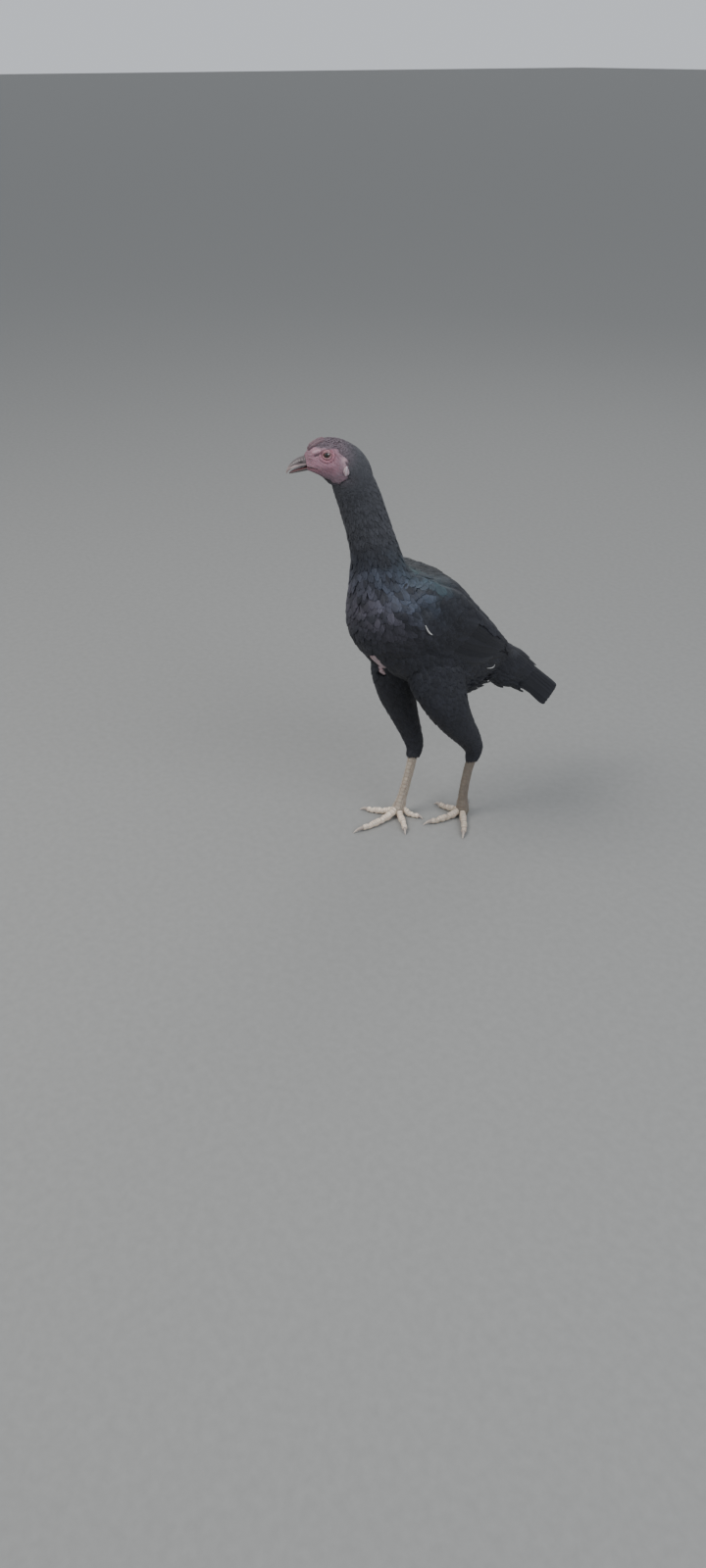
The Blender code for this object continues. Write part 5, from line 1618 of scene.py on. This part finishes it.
def earlobe(side):
    """Hanging lobe: an ellipsoid flattened against the head with two upright folds and fine creases."""
    sign = SIDES[side]
    low, high = (np.array(corner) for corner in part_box("earlobe_" + side))
    centre = (low + high) / 2
    outward = unit(body.normal(np.array([13.45]), np.array([sign * math.radians(82.0)])))[0]
    upper = unit(np.array([0.0, 0.0, 1.0]) - outward * outward[2])
    fore = np.cross(outward, upper) * sign
    polar, turn = grid(np.linspace(0.02, math.pi - 0.02, 50), circle(72))
    way = np.stack([np.sin(polar) * np.cos(turn), np.sin(polar) * np.sin(turn), np.cos(polar)], axis=-1)
    size = np.array([0.0033, 0.0028, 0.0060])
    folds = 1.0 + 0.055 * np.cos(way[..., 0] * 5.5 + way[..., 2] * 1.4)
    local = way * size * folds[..., None]
    local[..., 0] = local[..., 0] * (1.0 - 0.25 * way[..., 2])
    points = centre + fore * local[..., :1] + outward * local[..., 1:2] + upper * local[..., 2:]
    points = points + 0.00012 * ripple(points, 0.0016, 72)[..., None] * outward
    points, faces = tube(points)
    tone = with_ends(0.6 + 0.4 * np.cos(way[..., 0] * 5.5 + way[..., 2] * 1.4))
    white, pink = np.array([0.42, 0.38, 0.41]), np.array([0.30, 0.19, 0.21])
    piece = make_piece("lobe_" + side, points, faces, SKIN, mix(pink, white, tone),
                       [("Unwrap", tube_map(turn / 6.3, polar / 3.2))])
    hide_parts("earlobe_" + side)


# Legs


def round_scales(u, v):
    """Domes in the unit cells of a grid whose every other column is moved by half a cell."""
    u = u + 0.5 * (np.floor(v) % 2)
    return np.clip(1.0 - (np.hypot(u - np.floor(u) - 0.5, v - np.floor(v) - 0.5) / 0.56) ** 2, 0, 1) ** 0.6


def scutes(s, a, count, spread, rise):
    """Height of overlapping plates ahead of angle spread and of small round scales behind it.
    A plate rises toward its lower edge and drops to the next one; a seam runs down the middle."""
    row = s * count + 0.5 * (a > 0)
    part = row - np.floor(row)
    plate = rise * (0.25 + 0.75 * part ** 0.8) * smooth_step((1.0 - part) / 0.10)
    seam = np.exp(-((a / 0.06) ** 2)) + np.exp(-(((np.abs(a) - spread) / 0.07) ** 2))
    plate = plate * (1.0 - 0.9 * np.clip(seam, 0, 1))
    dome = round_scales(s * count * 1.9, np.abs(a) * 2.9)
    back = smooth_step((np.abs(a) - spread) / 0.10)
    height = plate * (1 - back) + rise * 0.55 * dome * back
    return height, 1.0 - np.clip(height / (rise * (0.6 - 0.15 * back)), 0, 1)


SHANK_PALE = np.array([0.43, 0.365, 0.295])


def shank(side):
    """Shank from inside the cuff to the foot, along a curve that leaves the thigh in its line."""
    before, last = place_rows(along(THIGHS[side], np.array([6.5, 7.0])))
    leave = unit(last - before)
    top = last - leave * (0.018 if side == "left" else 0.026)
    foot = place(*FEET[side], FOOT_HEIGHT)
    middle = last + leave * np.linalg.norm(foot - last) * 0.4
    s = np.linspace(0, 1, 240)[:, None]
    centres = (1 - s) ** 2 * top + 2 * s * (1 - s) * middle + s * s * foot
    side_way, fore = leg_frame(unit(np.gradient(centres, axis=0)))
    share, a = grid(s[:, 0], circle(112, -math.pi))
    radii = between(SHANK, share)
    height, hollow = scutes(share, a, 17.0, 1.05, 0.0007)
    fade = smooth_step((1.0 - share) / 0.05)
    lump = 0.0003 * ripple(centres[:, None, :] + np.cos(a)[..., None] * 0.01, 0.012, 81)
    grow = height * fade - 0.0004 + lump
    radii = radii + grow[..., None]
    point = about(centres, fore, np.cos(a) * radii[..., 0], side_way, np.sin(a) * radii[..., 1])
    sole = point[-1].copy()
    sole[:, :2] = foot[:2] + (sole[:, :2] - foot[:2]) * 0.85
    low = []
    for k in range(1, 13):
        ring = point[-1] + (sole - point[-1]) * k / 12
        ring[:, 2] = point[-1][:, 2] + (0.0018 - point[-1][:, 2]) * math.sin(k / 12 * math.pi / 2)
        low.append(ring)
    rings = np.concatenate([point, low]) + STEP
    rings[..., 2] = np.maximum(rings[..., 2], 0.0004)
    points, faces = tube(rings)
    # The left shank, set back under the body, gets a darker copy of the same colours: painted shade
    painted_shade = 1.0 if side == "right" else 0.46
    tone = 0.85 + 0.2 * ripple(points, 0.010, 82) * 0.5
    colours = SHANK_PALE * painted_shade * tone[:, None]
    hollow = np.concatenate([hollow, np.full((12, a.shape[1]), 0.35)])
    piece = make_piece("scaled_shank_" + side, points, faces, SCALES, colours,
                       [("Unwrap", even_map(rings))], [("hollow", with_ends(hollow))])
    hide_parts("shank_" + side)


def toe_line(side, name, share):
    """Centre of a toe at shares of its length and its radius there; pads swell between the joints."""
    angle, length, root, end, joints = TOES[side][name]
    heading = math.radians(angle)
    reach = length * (1.0 - CLAW_SHARE)
    share = np.asarray(share, float)
    radius = (root + (end - root) * share) * (1.0 + 0.10 * np.cos(TURN * share * joints))
    start = FOOT_HEIGHT + 0.001 if name != "hind" else 0.020
    fall = smooth_step(share / (0.35 if name != "hind" else 0.6))
    height = start + (radius - 0.0006 - start) * fall + 0.0012 * np.sin(TURN * share * joints) ** 2
    forward, left = FEET[side]
    run, heading = reach * share, heading + 0.05 * np.sin(math.pi * share)
    return place(forward + run * np.cos(heading), left + run * np.sin(heading), height), radius


def toe(side, name):
    """Toe: rings along its line with plates on top and small round scales below."""
    share = np.linspace(0.0, 1.0, 110)
    centres, radii = toe_line(side, name, share)
    axes = unit(np.gradient(centres, axis=0))
    across = unit(np.cross([0.0, 0.0, 1.0], axes))
    upward = np.cross(axes, across)
    s, a = grid(share, circle(56, -math.pi))
    length = TOES[side][name][1]
    count = round(length / 0.0036)
    part = s * count - np.floor(s * count)
    top = smooth_step((1.15 - np.abs(a)) / 0.12)
    plate = 0.00065 * (0.2 + 0.8 * part ** 0.8) * smooth_step((1.0 - part) / 0.12)
    plate = plate * (1.0 - 0.85 * np.exp(-(((np.abs(a) - 1.15) / 0.08) ** 2)))
    dome = round_scales(s * count * 2.6, a * 3.6)
    height = plate * top + 0.00030 * dome * (1 - top)
    hollow = np.where(top > 0.5, 1.0 - np.clip(plate / 0.0004, 0, 1), 1.0 - np.clip(dome / 0.6, 0, 1))
    end = smooth_step((1.0 - s) / 0.06)
    radius = radii[:, None] * (0.72 + 0.28 * end ** 0.5) - 0.0004 + height * end
    rings = about(centres, across, np.sin(a) * radius, upward, np.cos(a) * radius) + STEP
    rings[..., 2] = np.maximum(rings[..., 2], 0.0)
    points, faces = tube(rings)
    tone = 1.0 + 0.12 * ripple(points, 0.009, 83)
    # The left toes get a darker copy of the right toes' colours: painted shade under the body
    colours = SHANK_PALE * (1.75 if side == "right" else 1.25) * tone[:, None]
    piece = make_piece("scaled_toe_%s_%s" % (name, side), points, faces, SCALES, colours,
                       [("Unwrap", tube_map(a / 6.3 + 0.5, s))], [("hollow", with_ends(hollow))])
    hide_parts("toe_%s_%s" % (name, side))
    claw(side, name, centres, radii, length)


def claw(side, name, centres, radii, length):
    """Claw: an oval cone whose line bends from the toe's axis to level and dips at the tip."""
    axis = unit(centres[-1] - centres[-6])
    level = unit(np.array([axis[0], axis[1], 0.0]))
    across = np.cross([0.0, 0.0, 1.0], level)
    reach = length * CLAW_SHARE
    s = np.linspace(0.0, 1.0, 44)
    base = centres[-1] - axis * 0.0012
    run = axis[None] * (1 - s)[:, None] + level[None] * s[:, None]
    line = base + run * (reach + 0.0008) * s[:, None]
    line[:, 2] += 0.0020 * np.sin(math.pi * s)
    size = radii[-1] * 0.80 * (1.0 - s) ** 0.62 * (1.0 - 0.25 * s) + 0.00025
    line[:, 2] = np.maximum(line[:, 2] * (1 - s ** 3) + 0.0009 * s ** 3, size + 0.0003)
    a = circle(32)
    upward = np.cross(unit(run), across)
    grown = (size * (1.0 + 0.02 * np.sin(s * 60.0)))[:, None]
    rings = about(line, across, np.cos(a) * 0.8 * grown, upward, np.sin(a) * grown) + STEP
    points, faces = tube(rings)
    root, tip = np.array([0.30, 0.245, 0.21]), np.array([0.50, 0.43, 0.37])
    colours = mix(root, tip, s[:, None] * np.ones((1, len(a))))
    piece = make_piece("horn_claw_%s_%s" % (name, side), points, faces, CLAW, with_ends(colours),
                       [("Unwrap", tube_map(*np.meshgrid(a / 6.3, s)))])
    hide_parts("claw_%s_%s" % (name, side))


# Stage


def lamp(name, place_at, aim, size, power, colour=(1.0, 1.0, 1.0)):
    """Round soft light turned to its aim."""
    light = bpy.data.lights.new(name, "AREA")
    light.shape = "DISK"
    light.size = size
    light.energy = power
    light.color = colour
    holder = bpy.data.objects.new(name, light)
    bpy.context.scene.collection.objects.link(holder)
    way = np.array(aim) - np.array(place_at)
    flat = math.hypot(way[0], way[1])
    holder.location = place_at
    holder.rotation_euler = (math.atan2(flat, -way[2]), 0.0, math.atan2(-way[0], way[1]))


def stage():
    """Pale floor, pale room and three soft lamps."""
    mesh = bpy.data.meshes.new("floor")
    reach = 60.0
    corners = [(-reach, -reach, 0), (reach, -reach, 0), (reach, reach, 0), (-reach, reach, 0)]
    mesh.from_pydata(corners, [], [(0, 1, 2, 3)])
    made = Finish("pale_floor", Roughness=0.9, Specular_IOR_Level=0.2)
    grain = made.noise(90.0, 4.0)
    tone = grain * 0.05 + 0.23
    made.feed(Base_Color=made.add("ShaderNodeCombineColor", {}, {0: tone, 1: tone, 2: tone * 0.97}))
    mesh.materials.append(made.material)
    floor = bpy.data.objects.new("floor", mesh)
    bpy.context.scene.collection.objects.link(floor)
    world = bpy.data.worlds.new("pale_room")
    world.use_nodes = True
    colour, strength = world.node_tree.nodes["Background"].inputs[:2]
    colour.default_value, strength.default_value = (0.86, 0.90, 0.96, 1.0), 0.75
    bpy.context.scene.world = world
    lamp("key", (-0.6, -1.8, 2.6), (0.0, 0.0, 0.35), 1.6, 60.0, (1.0, 0.98, 0.95))
    lamp("fill", (2.2, 0.4, 1.8), (0.0, 0.0, 0.35), 1.8, 32.0, (0.92, 0.95, 1.0))
    lamp("back", (-1.2, 2.0, 2.2), (0.0, 0.0, 0.40), 1.4, 12.0)


def camera():
    """Camera at the photograph's height, pitch and bearing."""
    data = bpy.data.cameras.new("camera")
    data.sensor_width = 36.0
    data.lens = 25.04
    data.clip_start = 0.01
    holder = bpy.data.objects.new("camera", data)
    bpy.context.scene.collection.objects.link(holder)
    holder.location = (1.110 + STEP[0], -0.929 + STEP[1], 1.032)
    holder.rotation_euler = (math.radians(56.0), 0.0, math.radians(55.0))
    bpy.context.scene.camera = holder


body_skin()
body_coat()
for side in SIDES:
    thigh_coat(side)
    wing(side)
    eye(side)
    lids(side)
    earlobe(side)
    shank(side)
    for name in TOES[side]:
        toe(side, name)
shoulder_coat()
coat("coat_flank", [(flank_feathers(side), body_unwrap) for side in SIDES], seed=97)
tail()
bare_quills()
beak("horn_beak_upper", BEAK_UPPER, True)
beak("horn_beak_lower", BEAK_LOWER, False)
comb()
stage()
camera()
